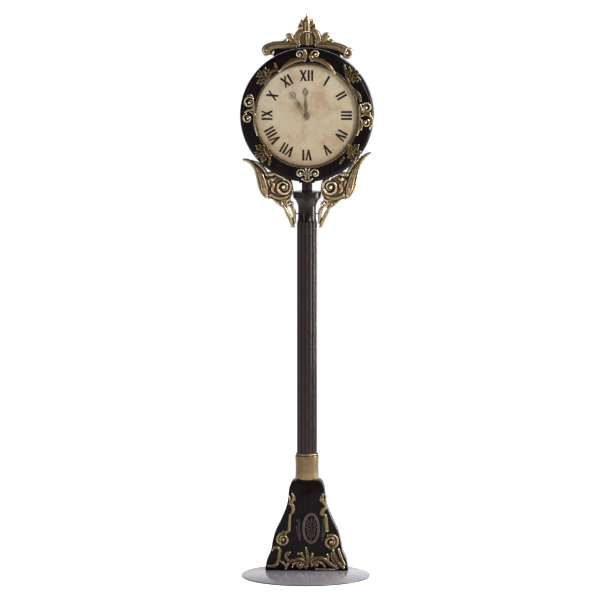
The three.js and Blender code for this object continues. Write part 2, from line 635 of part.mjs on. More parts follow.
// ---- Hands, drawn pointing to 12 ----
// Half width against distance from the centre, both as shares of the hand's length.
const MINUTE_LINE = [[0, -0.2], [0.035, -0.12], [0.09, 0], [0.035, 0.12], [0.03, 0.24],
  [0.075, 0.38], [0.085, 0.5], [0.03, 0.68], [0.03, 0.72], [0.1, 0.83], [0.07, 0.9], [0, 1]];
const HOUR_LINE = [[0, -0.18], [0.03, -0.12], [0.1, 0], [0.03, 0.12], [0.03, 0.18],
  [0.07, 0.3], [0.075, 0.42], [0.03, 0.58], [0.03, 0.68], [0.09, 0.82], [0.07, 0.91], [0, 1]];
const LOOP = [[0, 0.75], [0.045, 0.83], [0, 0.93]];

function handOutline(line, length) {
  const edge = line.map(([half, along]) => [half * length, along * length]);
  return [...edge, ...mirrored(edge.slice(1, -1)).reverse()];
}

function hand(line, length, y0, bore, angle) {
  const blade = frontPiece(handOutline(line, length), y0, y0 + HAND.thick, [handOutline(LOOP, length)]);
  const hub = rodY(bore + PIPE.hourWall, y0, y0 + HAND.thick);
  const made = cut(join(blade, hub), rodY(bore, y0 - 1, y0 + HAND.thick + 1));
  return made.rotateY(THREE.MathUtils.degToRad(angle));
}

function hourHand() {
  const bore = HOUR_PIPE + GAP;
  add(head, "hour_hand", hand(HOUR_LINE, HAND.hourLength, HOUR_HAND_FRONT, bore, REST.hour), "brass");
}

function minuteHand() {
  const made = hand(MINUTE_LINE, HAND.minuteLength, MINUTE_HAND_FRONT, CANNON + GAP, REST.minute);
  add(head, "minute_hand", made, "brass");
}

function handNut() {
  const { radius, height, dome, end } = HAND_NUT;
  const back = MINUTE_HAND_FRONT - GAP;
  const front = back - height;
  const bore = ARBOR + GAP;
  const floor = front + end - GAP;
  const profile = [[0, front], [radius - dome, front], [radius, front + end], [radius, back],
    [bore, back], [bore, floor], [0, floor]];
  add(head, "hand_nut", turnedY(profile, SIDES.small), "brass");
}

// ---- Castings on the ring, placed by clock angle and by share of the way from bezel to rim ----
function onRing(angle, share) {
  const radius = LIP + (HEAD.radius - LIP) * share;
  const turn = THREE.MathUtils.degToRad(angle);
  return [radius * Math.sin(turn), radius * Math.cos(turn)];
}

const FACE = [FRONT - GAP - CASTING, FRONT - GAP];
const RING = HEAD.radius - LIP; // width of the ring between bezel and rim

function curl([x, z], share) {
  return disc(x, z, RING * share, ...FACE);
}

function stroke(line, widths, steps) {
  return ribbon(line, widths.map((half) => half * RING), ...FACE, steps);
}

function topCurls() {
  const band = Array.from({ length: 7 }, (_, i) => onRing(-33 + 11 * i, 0.16));
  const stems = [-1, 1].map((side) => {
    const line = [onRing(side * 1.5, 0.16), onRing(side * 2, 0.6), onRing(side * 7, 0.72)];
    return stroke(line, [0.1, 0.08, 0.06], 5);
  });
  const curls = [-1, 1].map((side) => curl(onRing(side * 7.5, 0.68), 0.24));
  add(head, "top_curls", join(stroke(band, [0.04, 0.16, 0.04], 14), ...stems, ...curls), "gilt");
}

function bottomCurls() {
  const stem = stroke([onRing(179, 0.02), onRing(179, 0.98)], [0.08, 0.16, 0.12], 2);
  const curls = [-1, 1].map((side) => curl(onRing(179 + side * 6, 0.4), 0.34));
  add(head, "bottom_curls", join(stem, ...curls), "gilt");
}

function leafCluster(name, angle) {
  const root = onRing(angle, 0.35);
  const lobes = [[-9, 0.5], [-4, 0.85], [4, 0.85], [9, 0.5]].map(([turn, share]) => {
    const line = [root, onRing(angle + turn / 2, (share + 0.35) / 2), onRing(angle + turn, share)];
    return stroke(line, [0.12, 0.2, 0.02], 4);
  });
  const stem = stroke([onRing(angle, 0.02), root], [0.12, 0.2, 0.2], 2);
  add(head, name, join(stem, ...lobes), "gilt");
}

function sideScroll(name, angle) {
  const high = onRing(angle - 7, 0.72);
  const low = onRing(angle + 7, 0.72);
  const body = stroke([high, onRing(angle, 0.45), low], [0.1, 0.14, 0.1], 6);
  const tails = [-1, 1].map((side) => {
    const line = [onRing(angle, 0.45), onRing(angle + side * 10, 0.3), onRing(angle + side * 19, 0.2)];
    return stroke(line, [0.12, 0.12, 0.03], 6);
  });
  add(head, name, join(body, curl(high, 0.34), curl(low, 0.34), ...tails), "gilt");
}

// ---- Crest on top of the drum ----
function crest() {
  const top = HEAD.radius;
  const y = CREST.thick / 2;
  const h = CREST.height;
  const leafEdge = [[0, 1], [0.12, 0.92], [0.16, 0.83], [0.26, 0.76], [0.28, 0.63], [0.22, 0.6],
    [0.42, 0.52], [0.42, 0.4], [0.58, 0.42], [0.66, 0.34], [0.58, 0.02], [0.62, -0.06]]
    .map(([x, z]) => [x * h, top + z * h]);
  const palmette = frontPiece([...leafEdge, ...mirrored(leafEdge.slice(1)).reverse()], -y, y);
  const arms = [-1, 1].map((side) => {
    const reach = side * CREST.armReach;
    const line = [[side * 20, top + 20], [reach * 0.62, top + 22], [reach * 0.85, top + 22], [reach, top]];
    return ribbon(line, [16, 12, 12], -y, y, 8);
  });
  const rollHeight = top - CREST.roll / 3;
  const rolls = [-1, 1].map((side) => disc(side * CREST.armReach, rollHeight, CREST.roll, -y, y));
  add(head, "crest", cut(join(palmette, ...arms, ...rolls), drum(top + GAP)), "gilt");
}

// ---- Castings on the pedestal's face ----
function pedestalPoint(across, rise) {
  const at = PEDESTAL_LINE.findIndex(([, r]) => r >= rise);
  const [s1, r1] = PEDESTAL_LINE[at];
  const [s0, r0] = PEDESTAL_LINE[Math.max(at - 1, 0)];
  const share = r1 === r0 ? s1 : s0 + ((s1 - s0) * (rise - r0)) / (r1 - r0);
  return [pedestalHalf(share) * across, PEDESTAL.height * rise];
}

function pedestalScroll(name, side) {
  const placed = (points) => points.map(([across, rise]) => pedestalPoint(side * across, rise));
  const upper = placed([[0.82, 0.93], [0.8, 0.8], [0.86, 0.68], [0.84, 0.56], [0.76, 0.42]]);
  const lower = placed([[0.72, 0.34], [0.86, 0.22], [0.84, 0.1], [0.9, 0.03]]);
  const volute = disc(...pedestalPoint(side * 0.72, 0.36), 38, ...FACE);
  const strands = [ribbon(upper, [5, 9, 9], ...FACE, 12), ribbon(lower, [8, 14, 8], ...FACE, 8)];
  add(stand, name, join(...strands, volute), "gilt");
}

function footLeaf() {
  const plume = ribbon([[0, 8], [0, 80], [0, 135]], [30, 26, 3], ...FACE, 6);
  const sprays = [-1, 1].flatMap((side) => {
    const arm = [[0, 30], [side * 60, 100], [side * 110, 112], [side * 128, 96]];
    const leaf = [[0, 20], [side * 70, 24], [side * 135, 12]];
    return [ribbon(arm, [14, 12, 12], ...FACE, 8), disc(side * 122, 98, 20, ...FACE),
      ribbon(leaf, [12, 12, 4], ...FACE, 5)];
  });
  add(stand, "pedestal_foot_leaf", join(plume, ...sprays), "gilt");
}

basePlate();
corePost();
flangeBolts();
pedestalShell();
pedestalScrews();
collar();
columnShaft();
capital();
bracket("left", -1, 0);
bracket("right", 1, BRACKET.rightRise);
headSaddle();
headClamp();
headCase();
headBackRing();
dialAndBezel();
backDoor();
hingeLeafDoor();
hingeLeafCase();
hingePin();
doorLatch();
centreArbor();
cannonPinion();
hourWheel();
minuteWheel();
motionStud();
movementFrame();
motorCase();
battery();
hourHand();
minuteHand();
handNut();
topCurls();
bottomCurls();
leafCluster("leaf_upper_left", -46);
leafCluster("leaf_upper_right", 48);
leafCluster("leaf_lower_right", 131);
leafCluster("leaf_lower_left", 227);
sideScroll("side_scroll_right", 92);
sideScroll("side_scroll_left", 268);
crest();
pedestalScroll("pedestal_scroll_left", -1);
pedestalScroll("pedestal_scroll_right", 1);
footLeaf();

export default clock;
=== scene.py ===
"""A street clock: the looks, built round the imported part. Metres, +Z up, the dial faces -Y."""
import json
import math

import bpy
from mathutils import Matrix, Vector


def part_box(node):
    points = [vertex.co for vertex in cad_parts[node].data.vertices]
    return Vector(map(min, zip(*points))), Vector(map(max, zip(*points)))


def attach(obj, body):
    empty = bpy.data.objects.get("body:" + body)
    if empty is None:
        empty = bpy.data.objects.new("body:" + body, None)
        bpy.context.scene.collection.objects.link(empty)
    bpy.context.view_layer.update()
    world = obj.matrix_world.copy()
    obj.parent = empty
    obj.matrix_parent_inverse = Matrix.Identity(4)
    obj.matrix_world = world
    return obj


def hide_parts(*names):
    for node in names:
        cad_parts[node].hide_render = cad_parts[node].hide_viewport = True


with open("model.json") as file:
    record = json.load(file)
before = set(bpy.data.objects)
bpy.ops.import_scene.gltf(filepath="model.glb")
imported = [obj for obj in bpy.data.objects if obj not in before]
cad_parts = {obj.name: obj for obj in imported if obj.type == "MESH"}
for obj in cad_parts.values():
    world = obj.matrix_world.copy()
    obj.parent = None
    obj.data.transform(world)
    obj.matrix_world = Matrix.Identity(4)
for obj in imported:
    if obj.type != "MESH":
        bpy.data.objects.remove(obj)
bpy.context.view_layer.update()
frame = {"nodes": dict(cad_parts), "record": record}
FIXED = "clock_stand"

# ---- Places, all from the frame ----
case_low, case_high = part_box("head_case")
plate_low, plate_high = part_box("base_plate")
pedestal_low, pedestal_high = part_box("pedestal_shell")
shaft_low, shaft_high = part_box("column_shaft")
capital_low, capital_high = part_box("capital")
collar_low, collar_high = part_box("collar")
dial_low, dial_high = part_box("dial")
bezel_low, bezel_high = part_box("bezel")
door_low, door_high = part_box("back_door")
post_low, post_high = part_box("core_post")
DRUM = (case_high.x - case_low.x) / 2
ring_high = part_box("head_back_ring")[1]
HEAD = Vector((0, (case_low.y + ring_high.y) / 2, (case_low.z + case_high.z) / 2))
AXIS_Y = HEAD.y
SIGHT = 0.298
GAP = 0.0003  # between pieces that lie on each other
POST_BORE = 0.0322  # the hole in collar and capital that the post passes through
DIAL_BORE = 0.0107
SPINDLE, SPINDLE_BORE = 0.005, 0.0054  # radii of the latch's spindle and of its hole in the door
HOUR_AT, MINUTE_AT = 357.2, 326.4  # degrees clockwise from twelve, at rest
LIP = (bezel_high.x - bezel_low.x) / 2
FACE_Y = case_low.y
PEDESTAL_FACE = pedestal_low.y


# ---- Operator helpers ----
def clear_selection():
    if bpy.context.mode != "OBJECT":
        bpy.ops.object.mode_set(mode="OBJECT")
    bpy.ops.object.select_all(action="DESELECT")


def pick(*things):
    clear_selection()
    for thing in things:
        thing.select_set(True)
    bpy.context.view_layer.objects.active = things[0]


def named(name):
    made = bpy.context.object
    made.name = name
    made.data.name = name
    return made


def settle(piece, angle=35):
    """Puts the piece's place into its mesh and shades it."""
    pick(piece)
    bpy.ops.object.transform_apply(location=True, rotation=True, scale=True)
    bpy.ops.object.shade_smooth_by_angle(angle=math.radians(angle))
    return piece


def tidy_mesh(piece, merge=0.00002):
    pick(piece)
    bpy.ops.object.mode_set(mode="EDIT")
    bpy.ops.mesh.select_all(action="SELECT")
    bpy.ops.mesh.remove_doubles(threshold=merge)
    bpy.ops.mesh.normals_make_consistent(inside=False)
    bpy.ops.object.mode_set(mode="OBJECT")
    return piece


def modify(piece, kind, **values):
    pick(piece)
    modifier = piece.modifiers.new(kind.title(), kind)
    for key, value in values.items():
        setattr(modifier, key, value)
    bpy.ops.object.modifier_apply(modifier=modifier.name)
    return piece


def joined(name, pieces):
    pick(*pieces)
    if len(pieces) > 1:
        bpy.ops.object.join()
    return named(name)


def chain(name, points, closed=False):
    """An edge chain through 3-D points, from a poly curve."""
    clear_selection()
    bpy.ops.curve.primitive_nurbs_path_add()
    made = named(name)
    made.data.splines.clear()
    spline = made.data.splines.new("POLY")
    spline.points.add(len(points) - 1)
    for spot, co in zip(spline.points, points):
        spot.co = (*co, 1)
    spline.use_cyclic_u = closed
    bpy.ops.object.convert(target="MESH")
    return bpy.context.object


def spun(name, profile, centre, axis, steps=96):
    """A solid turned about an axis, from [radius, along] points that start and end on it or close."""
    if axis == "Z":
        points = [(centre[0] + r, centre[1], along) for r, along in profile]
    else:
        points = [(centre[0] + r, along, centre[2]) for r, along in profile]
    on_axis = any(r == 0 for r, _ in profile)
    piece = chain(name, points, closed=not on_axis)
    bpy.ops.object.mode_set(mode="EDIT")
    bpy.ops.mesh.select_all(action="SELECT")
    direction = (0, 0, 1) if axis == "Z" else (0, 1, 0)
    bpy.ops.mesh.spin(steps=steps, angle=2 * math.pi, center=centre, axis=direction)
    bpy.ops.object.mode_set(mode="OBJECT")
    tidy_mesh(piece)
    return settle(piece, 30)


def rounded(x, y, radius, start, end, steps=5):
    return [(x + radius * math.cos(math.radians(start + (end - start) * i / steps)),
             y + radius * math.sin(math.radians(start + (end - start) * i / steps))) for i in range(steps + 1)]


def strand(points, radii, y=0.0, flat=0.6, resolution=3, steps=6):
    """A tapered band along a smooth line of [x, z] points, flattened front to back."""
    clear_selection()
    bpy.ops.curve.primitive_bezier_curve_add()
    made = named("strand")
    made.data.splines.clear()
    made.data.dimensions = "3D"
    made.data.bevel_depth = 1.0
    made.data.bevel_resolution = resolution
    made.data.use_fill_caps = True
    made.data.resolution_u = steps
    spline = made.data.splines.new("BEZIER")
    spline.bezier_points.add(len(points) - 1)
    last = len(points) - 1
    for i, (spot, co) in enumerate(zip(spline.bezier_points, points)):
        lift = co[2] if len(co) > 2 else 0.0
        spot.co = (co[0], lift / flat, co[1])
        spot.handle_left_type = spot.handle_right_type = "AUTO"
        share = i / last * (len(radii) - 1)
        low = min(int(share), len(radii) - 2)
        spot.radius = radii[low] + (radii[low + 1] - radii[low]) * (share - low)
    bpy.ops.object.convert(target="MESH")
    made = bpy.context.object
    made.scale = (1, flat, 1)
    made.location = (0, y, 0)
    bpy.ops.object.transform_apply(location=True, rotation=True, scale=True)
    return made


def spiral(centre, radius, start, turns, tight=0.18, steps=9):
    """Points of a volute that winds in from its outside to its eye; positive turns go anticlockwise."""
    count = max(int(abs(turns) * steps), 4)
    points = []
    for i in range(count + 1):
        share = i / count
        r = radius * (1 - share) + radius * tight * share
        angle = math.radians(start + 360 * turns * share)
        points.append((centre[0] + r * math.cos(angle), centre[1] + r * math.sin(angle)))
    return points


def bead(x, z, radius, y, flat=0.7):
    clear_selection()
    bpy.ops.mesh.primitive_uv_sphere_add(segments=20, ring_count=12, radius=radius, location=(x, y, z))
    made = bpy.context.object
    made.scale = (1, flat, 1)
    bpy.ops.object.transform_apply(location=True, rotation=True, scale=True)
    return made


def cast(name, strands, voxel=0.0022, smooth=3):
    """Strands run together into one casting."""
    piece = joined(name, strands)
    modify(piece, "REMESH", mode="VOXEL", voxel_size=voxel)
    modify(piece, "SMOOTH", factor=0.5, iterations=smooth)
    return settle(piece, 60)


def block(size, at):
    """A box of a size about a place, to be bevelled, shaped or cut with."""
    clear_selection()
    bpy.ops.mesh.primitive_cube_add(size=1, location=at)
    made = bpy.context.object
    made.scale = size
    bpy.ops.object.transform_apply(location=True, rotation=True, scale=True)
    return made


def cut(piece, cutter):
    modify(piece, "BOOLEAN", operation="DIFFERENCE", object=cutter, solver="EXACT")
    bpy.data.objects.remove(cutter)


def bore_through(piece, radius, at=(0, 0, 0)):
    """A round hole from front to back."""
    clear_selection()
    bpy.ops.mesh.primitive_cylinder_add(radius=radius, depth=0.05, rotation=(math.pi / 2, 0, 0), vertices=48,
                                        location=at)
    cut(piece, bpy.context.object)


def edit_vertices(piece, chosen):
    """Enters edit mode with only the vertices selected whose index and vertex pass the test."""
    bpy.ops.object.mode_set(mode="EDIT")
    bpy.ops.mesh.select_mode(type="VERT")
    bpy.ops.mesh.select_all(action="DESELECT")
    bpy.ops.object.mode_set(mode="OBJECT")
    for i, vertex in enumerate(piece.data.vertices):
        vertex.select = chosen(i, vertex)
    bpy.ops.object.mode_set(mode="EDIT")


def use(piece, material, body=FIXED, replaces=()):
    piece.data.materials.clear()
    piece.data.materials.append(material)
    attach(piece, body)
    if replaces:
        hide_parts(*replaces)
    return piece


# ---- Finishes ----
class Finish:
    """A node material with a few short ways to add to it."""

    def __init__(self, name, roughness, metallic=0.0, **sockets):
        self.material = bpy.data.materials.new(name)
        self.material.use_nodes = True
        self.tree = self.material.node_tree
        self.shader = self.tree.nodes["Principled BSDF"]
        self.shader.inputs["Roughness"].default_value = roughness
        self.shader.inputs["Metallic"].default_value = metallic
        for key, value in sockets.items():
            self.shader.inputs[key.replace("_", " ")].default_value = value
        self.coordinates = self.tree.nodes.new("ShaderNodeTexCoord")

    def link(self, a, b):
        self.tree.links.new(a, b)

    def mapped(self, scale=(1, 1, 1), turn=(0, 0, 0), shift=(0, 0, 0)):
        node = self.tree.nodes.new("ShaderNodeMapping")
        node.inputs["Scale"].default_value = scale
        node.inputs["Rotation"].default_value = turn
        node.inputs["Location"].default_value = shift
        self.link(self.coordinates.outputs["Object"], node.inputs["Vector"])
        return node.outputs["Vector"]

    def noise(self, scale, detail=4.0, rough=0.55, distort=0.0, vector=None):
        node = self.tree.nodes.new("ShaderNodeTexNoise")
        node.inputs["Scale"].default_value = scale
        node.inputs["Detail"].default_value = detail
        node.inputs["Roughness"].default_value = rough
        node.inputs["Distortion"].default_value = distort
        self.link(vector or self.mapped(), node.inputs["Vector"])
        return node.outputs["Fac"]

    def ramp(self, fac, stops):
        node = self.tree.nodes.new("ShaderNodeValToRGB")
        while len(node.color_ramp.elements) < len(stops):
            node.color_ramp.elements.new(0.5)
        for element, (position, colour) in zip(node.color_ramp.elements, stops):
            element.position = position
            element.color = (*colour, 1)
        self.link(fac, node.inputs["Fac"])
        return node.outputs["Color"]

    def mix(self, fac, a, b, blend="MIX"):
        node = self.tree.nodes.new("ShaderNodeMix")
        node.data_type = "RGBA"
        node.blend_type = blend
        for value, socket in ((fac, node.inputs[0]), (a, node.inputs[6]), (b, node.inputs[7])):
            if isinstance(value, bpy.types.NodeSocket):
                self.link(value, socket)
            elif isinstance(value, tuple):
                socket.default_value = (*value, 1)
            else:
                socket.default_value = value
        return node.outputs[2]

    def spread(self, fac, low, high, out_low, out_high):
        node = self.tree.nodes.new("ShaderNodeMapRange")
        for key, value in (("From Min", low), ("From Max", high), ("To Min", out_low), ("To Max", out_high)):
            node.inputs[key].default_value = value
        self.link(fac, node.inputs["Value"])
        return node.outputs["Result"]

    def bump(self, height, strength, distance):
        node = self.tree.nodes.new("ShaderNodeBump")
        node.inputs["Strength"].default_value = strength
        node.inputs["Distance"].default_value = distance
        self.link(height, node.inputs["Height"])
        if self.shader.inputs["Normal"].links:
            self.link(self.shader.inputs["Normal"].links[0].from_socket, node.inputs["Normal"])
        self.link(node.outputs["Normal"], self.shader.inputs["Normal"])

    def set(self, socket, value):
        self.link(value, self.shader.inputs[socket])

    def height(self, low, high):
        """0 to 1 between two heights in the piece's own frame."""
        place = self.tree.nodes.new("ShaderNodeSeparateXYZ")
        self.link(self.coordinates.outputs["Object"], place.inputs["Vector"])
        return self.spread(place.outputs["Z"], low, high, 0, 1)

    def recess(self):
        """The surface's pointiness: low where it turns in, high on its raised edges. It marks worn edges, and
        in the gilt and the rubbed relief it also paints shade into hollows and highlights onto ridges.
        """
        return self.tree.nodes.new("ShaderNodeNewGeometry").outputs["Pointiness"]


def black_enamel(name="black_enamel", shine=0.06, tone=0.7, rough=(0.18, 0.34)):
    f = Finish(name, 0.2, Specular_IOR_Level=shine, Specular_Tint=(1, 0.8, 0.82, 1), Coat_Weight=0.05,
               Coat_Roughness=0.08)
    streaks = f.noise(6.0, 6.0, 0.6, 0.4, f.mapped((9, 9, 0.8)))
    clouds = f.noise(9.0, 5.0)
    worn = f.spread(f.recess(), 0.54, 0.62, 0.0, 0.35)
    deep, light, brown = ([c * tone for c in colour] for colour in (
        (0.0022, 0.0012, 0.0016), (0.007, 0.004, 0.0045), (0.014, 0.0075, 0.0065)))
    base = f.ramp(streaks, [(0.3, deep), (0.7, light)])
    clouded = f.mix(f.spread(clouds, 0.58, 0.82, 0, 0.5), base, tuple(brown))
    f.set("Base Color", f.mix(worn, clouded, (0.045, 0.027, 0.02)))
    f.set("Roughness", f.spread(clouds, 0.3, 0.7, *rough))
    f.bump(f.noise(55.0, 3.0), 0.22, 0.002)
    f.bump(streaks, 0.3, 0.003)
    return f.material


def rubbed_enamel_painted_light():
    """Black paint over low relief, rubbed back to bronze on what stands proud; the bronze edges also serve as
    a painted highlight, and the hollows are painted darker than the flats as shade.
    """
    f = Finish("rubbed_enamel_painted_light", 0.34, 0.25, Specular_IOR_Level=0.3)
    edge = f.spread(f.recess(), 0.487, 0.562, 0.0, 1.0)
    wear = f.noise(45.0, 5.0)
    # Painted shade and highlight by pointiness: near black in the hollows, dark on the flats, bronze on the
    # raised edges.
    base = f.ramp(edge, [(0.0, (0.003, 0.002, 0.0015)), (0.5, (0.02, 0.014, 0.01)),
                         (1.0, (0.24, 0.195, 0.15))])
    f.set("Base Color", f.mix(f.spread(wear, 0.54, 0.75, 0, 0.6), base, (0.012, 0.007, 0.005)))
    f.set("Roughness", f.spread(wear, 0.3, 0.7, 0.25, 0.45))
    f.bump(wear, 0.3, 0.0015)
    return f.material


def antique_gilt(name="antique_gilt", low=0.475, high=0.53):
    """Old gold leaf: umber in the hollows, partly grime and partly painted shade that runs to near black,
    olive bronze on the flats, and a painted highlight of pale cream along the ridges.
    """
    f = Finish(name, 0.34, 0.82, Specular_IOR_Level=0.4)
    blotches = f.noise(26.0, 6.0, 0.62, 0.2)
    patches = f.noise(9.0, 4.0, 0.5, 0.0, f.mapped((1, 1, 1), (0, 0, 0), (3, 1, 2)))
    edge = f.spread(f.recess(), low, high, 0.0, 1.0)
    # Painted shade and highlight by pointiness: near black and umber in the hollows, pale cream along the
    # ridges.
    deep = f.ramp(edge, [(0.0, (0.006, 0.003, 0.001)), (0.34, (0.04, 0.022, 0.008)),
                         (0.55, (0.17, 0.115, 0.058)),
                         (0.76, (0.47, 0.38, 0.25)), (1.0, (0.95, 0.88, 0.75))])
    dulled_shade_and_highlight = f.mix(f.spread(blotches, 0.48, 0.72, 0, 0.6), deep, (0.11, 0.066, 0.026))
    f.set("Base Color", f.mix(f.spread(patches, 0.5, 0.8, 0, 0.4), dulled_shade_and_highlight, (0.22, 0.165, 0.095)))
    f.set("Roughness", f.spread(blotches, 0.35, 0.7, 0.18, 0.42))
    f.bump(f.noise(220.0, 3.0), 0.3, 0.0008)
    f.bump(blotches, 0.3, 0.0022)
    return f.material


def cream_dial():
    f = Finish("cream_dial", 0.55)
    stains = f.noise(8.0, 7.0, 0.65, 0.3)
    fine = f.noise(60.0, 5.0, 0.6)
    base = f.ramp(stains, [(0.36, (0.26, 0.18, 0.1)), (0.5, (0.315, 0.26, 0.178)),
                           (0.68, (0.335, 0.3, 0.225))])
    speckle = f.mix(f.spread(fine, 0.54, 0.72, 0, 0.55), base, (0.2, 0.13, 0.065))
    # Darker and warmer towards the bottom of the dial.
    tone = f.ramp(f.height(HEAD.z - 0.3, HEAD.z + 0.3), [(0.1, (0.95, 0.88, 0.78)), (0.9, (1.0, 1.0, 1.0))])
    f.set("Base Color", f.mix(1.0, speckle, tone, "MULTIPLY"))
    f.set("Roughness", f.spread(fine, 0.3, 0.7, 0.48, 0.66))
    f.bump(fine, 0.3, 0.001)
    return f.material


def ground_steel():
    f = Finish("ground_steel", 0.16, 0.5)
    brushed = f.noise(14.0, 3.0, 0.5, 0.0, f.mapped((30, 1, 30)))
    haze = f.noise(5.0, 4.0)
    scuffs = f.noise(40.0, 6.0, 0.7)
    steel = f.ramp(brushed, [(0.3, (0.37, 0.345, 0.4)), (0.7, (0.47, 0.445, 0.5))])
    top = f.mix(f.spread(scuffs, 0.56, 0.8, 0, 0.35), steel, (0.33, 0.31, 0.37))
    # The plate's edge below its top face is painted dark as shadow.
    f.set("Base Color", f.mix(f.height(0.0066, 0.0079), (0.03, 0.027, 0.03), top))
    f.set("Roughness", f.spread(haze, 0.3, 0.7, 0.12, 0.24))
    f.bump(brushed, 0.05, 0.0005)
    return f.material


def plain_metal(name, dark, light, roughness, metallic=1.0, grain=120.0, stretch=(1, 1, 12)):
    f = Finish(name, roughness, metallic)
    grain_mask = f.noise(grain, 3.0, 0.5, 0.0, f.mapped(stretch))
    patches = f.noise(25.0, 4.0)
    base = f.ramp(grain_mask, [(0.3, dark), (0.7, light)])
    f.set("Base Color", f.mix(f.spread(patches, 0.5, 0.8, 0, 0.5), base, dark))
    f.set("Roughness", f.spread(patches, 0.3, 0.7, roughness * 0.8, roughness * 1.25))
    f.bump(grain_mask, 0.12, 0.0004)
    return f.material


def numeral_paint():
    f = Finish("numeral_black", 0.5, Specular_IOR_Level=0.12)
    wear = f.noise(90.0, 4.0)
    f.set("Base Color", f.ramp(wear, [(0.4, (0.005, 0.003, 0.0025)), (0.75, (0.018, 0.011, 0.008))]))
    f.bump(wear, 0.3, 0.0006)
    return f.material


def floor_finish():
    f = Finish("pale_floor", 0.8, Specular_IOR_Level=0.1, Emission_Color=(1, 1, 1, 1), Emission_Strength=0.8)
    soft = f.noise(1.5, 2.0)
    f.set("Base Color", f.ramp(soft, [(0.3, (0.84, 0.84, 0.84)), (0.7, (0.87, 0.87, 0.87))]))
    return f.material


ENAMEL = black_enamel()
COLUMN = black_enamel("fluted_enamel", 0.2, 1.0, (0.18, 0.3))
RUBBED_PAINTED_LIGHT = rubbed_enamel_painted_light()
GILT = antique_gilt()
FINE_GILT = antique_gilt("fine_gilt", 0.479, 0.54)
LEAF_GILT = antique_gilt("leaf_gilt", 0.483, 0.565)
SMOOTH_GILT = antique_gilt("smooth_gilt", 0.36, 0.66)
CREAM = cream_dial()
STEEL = ground_steel()
BRASS = plain_metal("clock_brass", (0.42, 0.28, 0.1), (0.66, 0.48, 0.2), 0.32)
HAND_BRASS = plain_metal("hand_brass", (0.06, 0.043, 0.022), (0.17, 0.13, 0.08), 0.4, 0.6, 160.0)
ZINC = plain_metal("zinc_steel", (0.32, 0.32, 0.31), (0.55, 0.55, 0.54), 0.38, 1.0, 90.0, (1, 1, 1))
PLASTIC = plain_metal("dark_plastic", (0.018, 0.018, 0.02), (0.03, 0.03, 0.032), 0.5, 0.0, 300.0, (1, 1, 1))
WRAP = plain_metal("battery_wrap", (0.03, 0.05, 0.12), (0.05, 0.08, 0.18), 0.35, 0.2, 40.0, (30, 1, 1))
INK = numeral_paint()

BY_SLOT = {"black_enamel": ENAMEL, "antique_gilt": SMOOTH_GILT, "cream_dial": CREAM, "ground_plate": STEEL,
           "clock_brass": BRASS,
           "hand_brass": HAND_BRASS, "zinc_steel": ZINC, "battery_wrap": WRAP, "dark_plastic": PLASTIC}
for part in frame["record"]["subparts"]:
    node = frame["nodes"][part["node"]]
    node.data.materials.clear()
    node.data.materials.append(BY_SLOT[part["material_slot"]])


# ---- Camera, floor and light ----
def place_camera():
    azimuth, elevation, distance = math.radians(2), math.radians(6.25), 28.0
    aim = Vector((-0.042, AXIS_Y, 1.6288))
    forward = Vector((-math.sin(azimuth) * math.cos(elevation), math.cos(azimuth) * math.cos(elevation),
                      -math.sin(elevation)))
    data = bpy.data.cameras.new("camera")
    camera = bpy.data.objects.new("camera", data)
    bpy.context.scene.collection.objects.link(camera)
    camera.location = aim - forward * distance
    camera.rotation_euler = forward.to_track_quat("-Z", "Y").to_euler()
    data.lens = 281.8
    data.sensor_width = 36
    data.clip_end = 200
    bpy.context.scene.camera = camera


def place_stage():
    clear_selection()
    bpy.ops.mesh.primitive_plane_add(size=60, location=(0, 0, -0.0005))
    floor = named("floor")
    floor.data.materials.append(floor_finish())
    bpy.context.scene.view_settings.view_transform = "Standard"
    world = bpy.data.worlds.new("studio")
    bpy.context.scene.world = world
    world.use_nodes = True
    tree = world.node_tree
    sky = tree.nodes["Background"]
    sky.inputs["Color"].default_value = (1, 1, 1, 1)
    # A white wall behind, seen by the camera and in the plate, and a dim room in front.
    direction = tree.nodes.new("ShaderNodeTexCoord")
    split = tree.nodes.new("ShaderNodeSeparateXYZ")
    wall = tree.nodes.new("ShaderNodeMapRange")
    for key, value in (("From Min", 0.94), ("From Max", 0.99), ("To Min", 0.27), ("To Max", 0.95)):
        wall.inputs[key].default_value = value
    seen = tree.nodes.new("ShaderNodeLightPath")
    brighter = tree.nodes.new("ShaderNodeMath")
    brighter.operation = "MAXIMUM"
    tree.links.new(direction.outputs["Generated"], split.inputs["Vector"])
    tree.links.new(split.outputs["Y"], wall.inputs["Value"])
    tree.links.new(seen.outputs["Is Camera Ray"], brighter.inputs[0])
    tree.links.new(wall.outputs["Result"], brighter.inputs[1])
    tree.links.new(brighter.outputs["Value"], sky.inputs["Strength"])


def area_light(name, location, target, size, power, shape=1.0):
    data = bpy.data.lights.new(name, "AREA")
    data.shape = "RECTANGLE"
    data.size = size
    data.size_y = size * shape
    data.energy = power
    lamp = bpy.data.objects.new(name, data)
    bpy.context.scene.collection.objects.link(lamp)
    lamp.location = location
    lamp.rotation_euler = (Vector(target) - Vector(location)).to_track_quat("-Z", "Y").to_euler()


place_camera()
place_stage()
area_light("key", (4.2, -4.0, 5.2), (0, 0.2, 1.9), 1.8, 470, 1.6)
area_light("right_edge", (4.0, 0.6, 2.2), (0, 0.2, 1.6), 1.0, 290, 3.0)
area_light("fill", (-5.0, -6.0, 3.5), (0, 0.2, 1.6), 2.4, 95, 1.4)


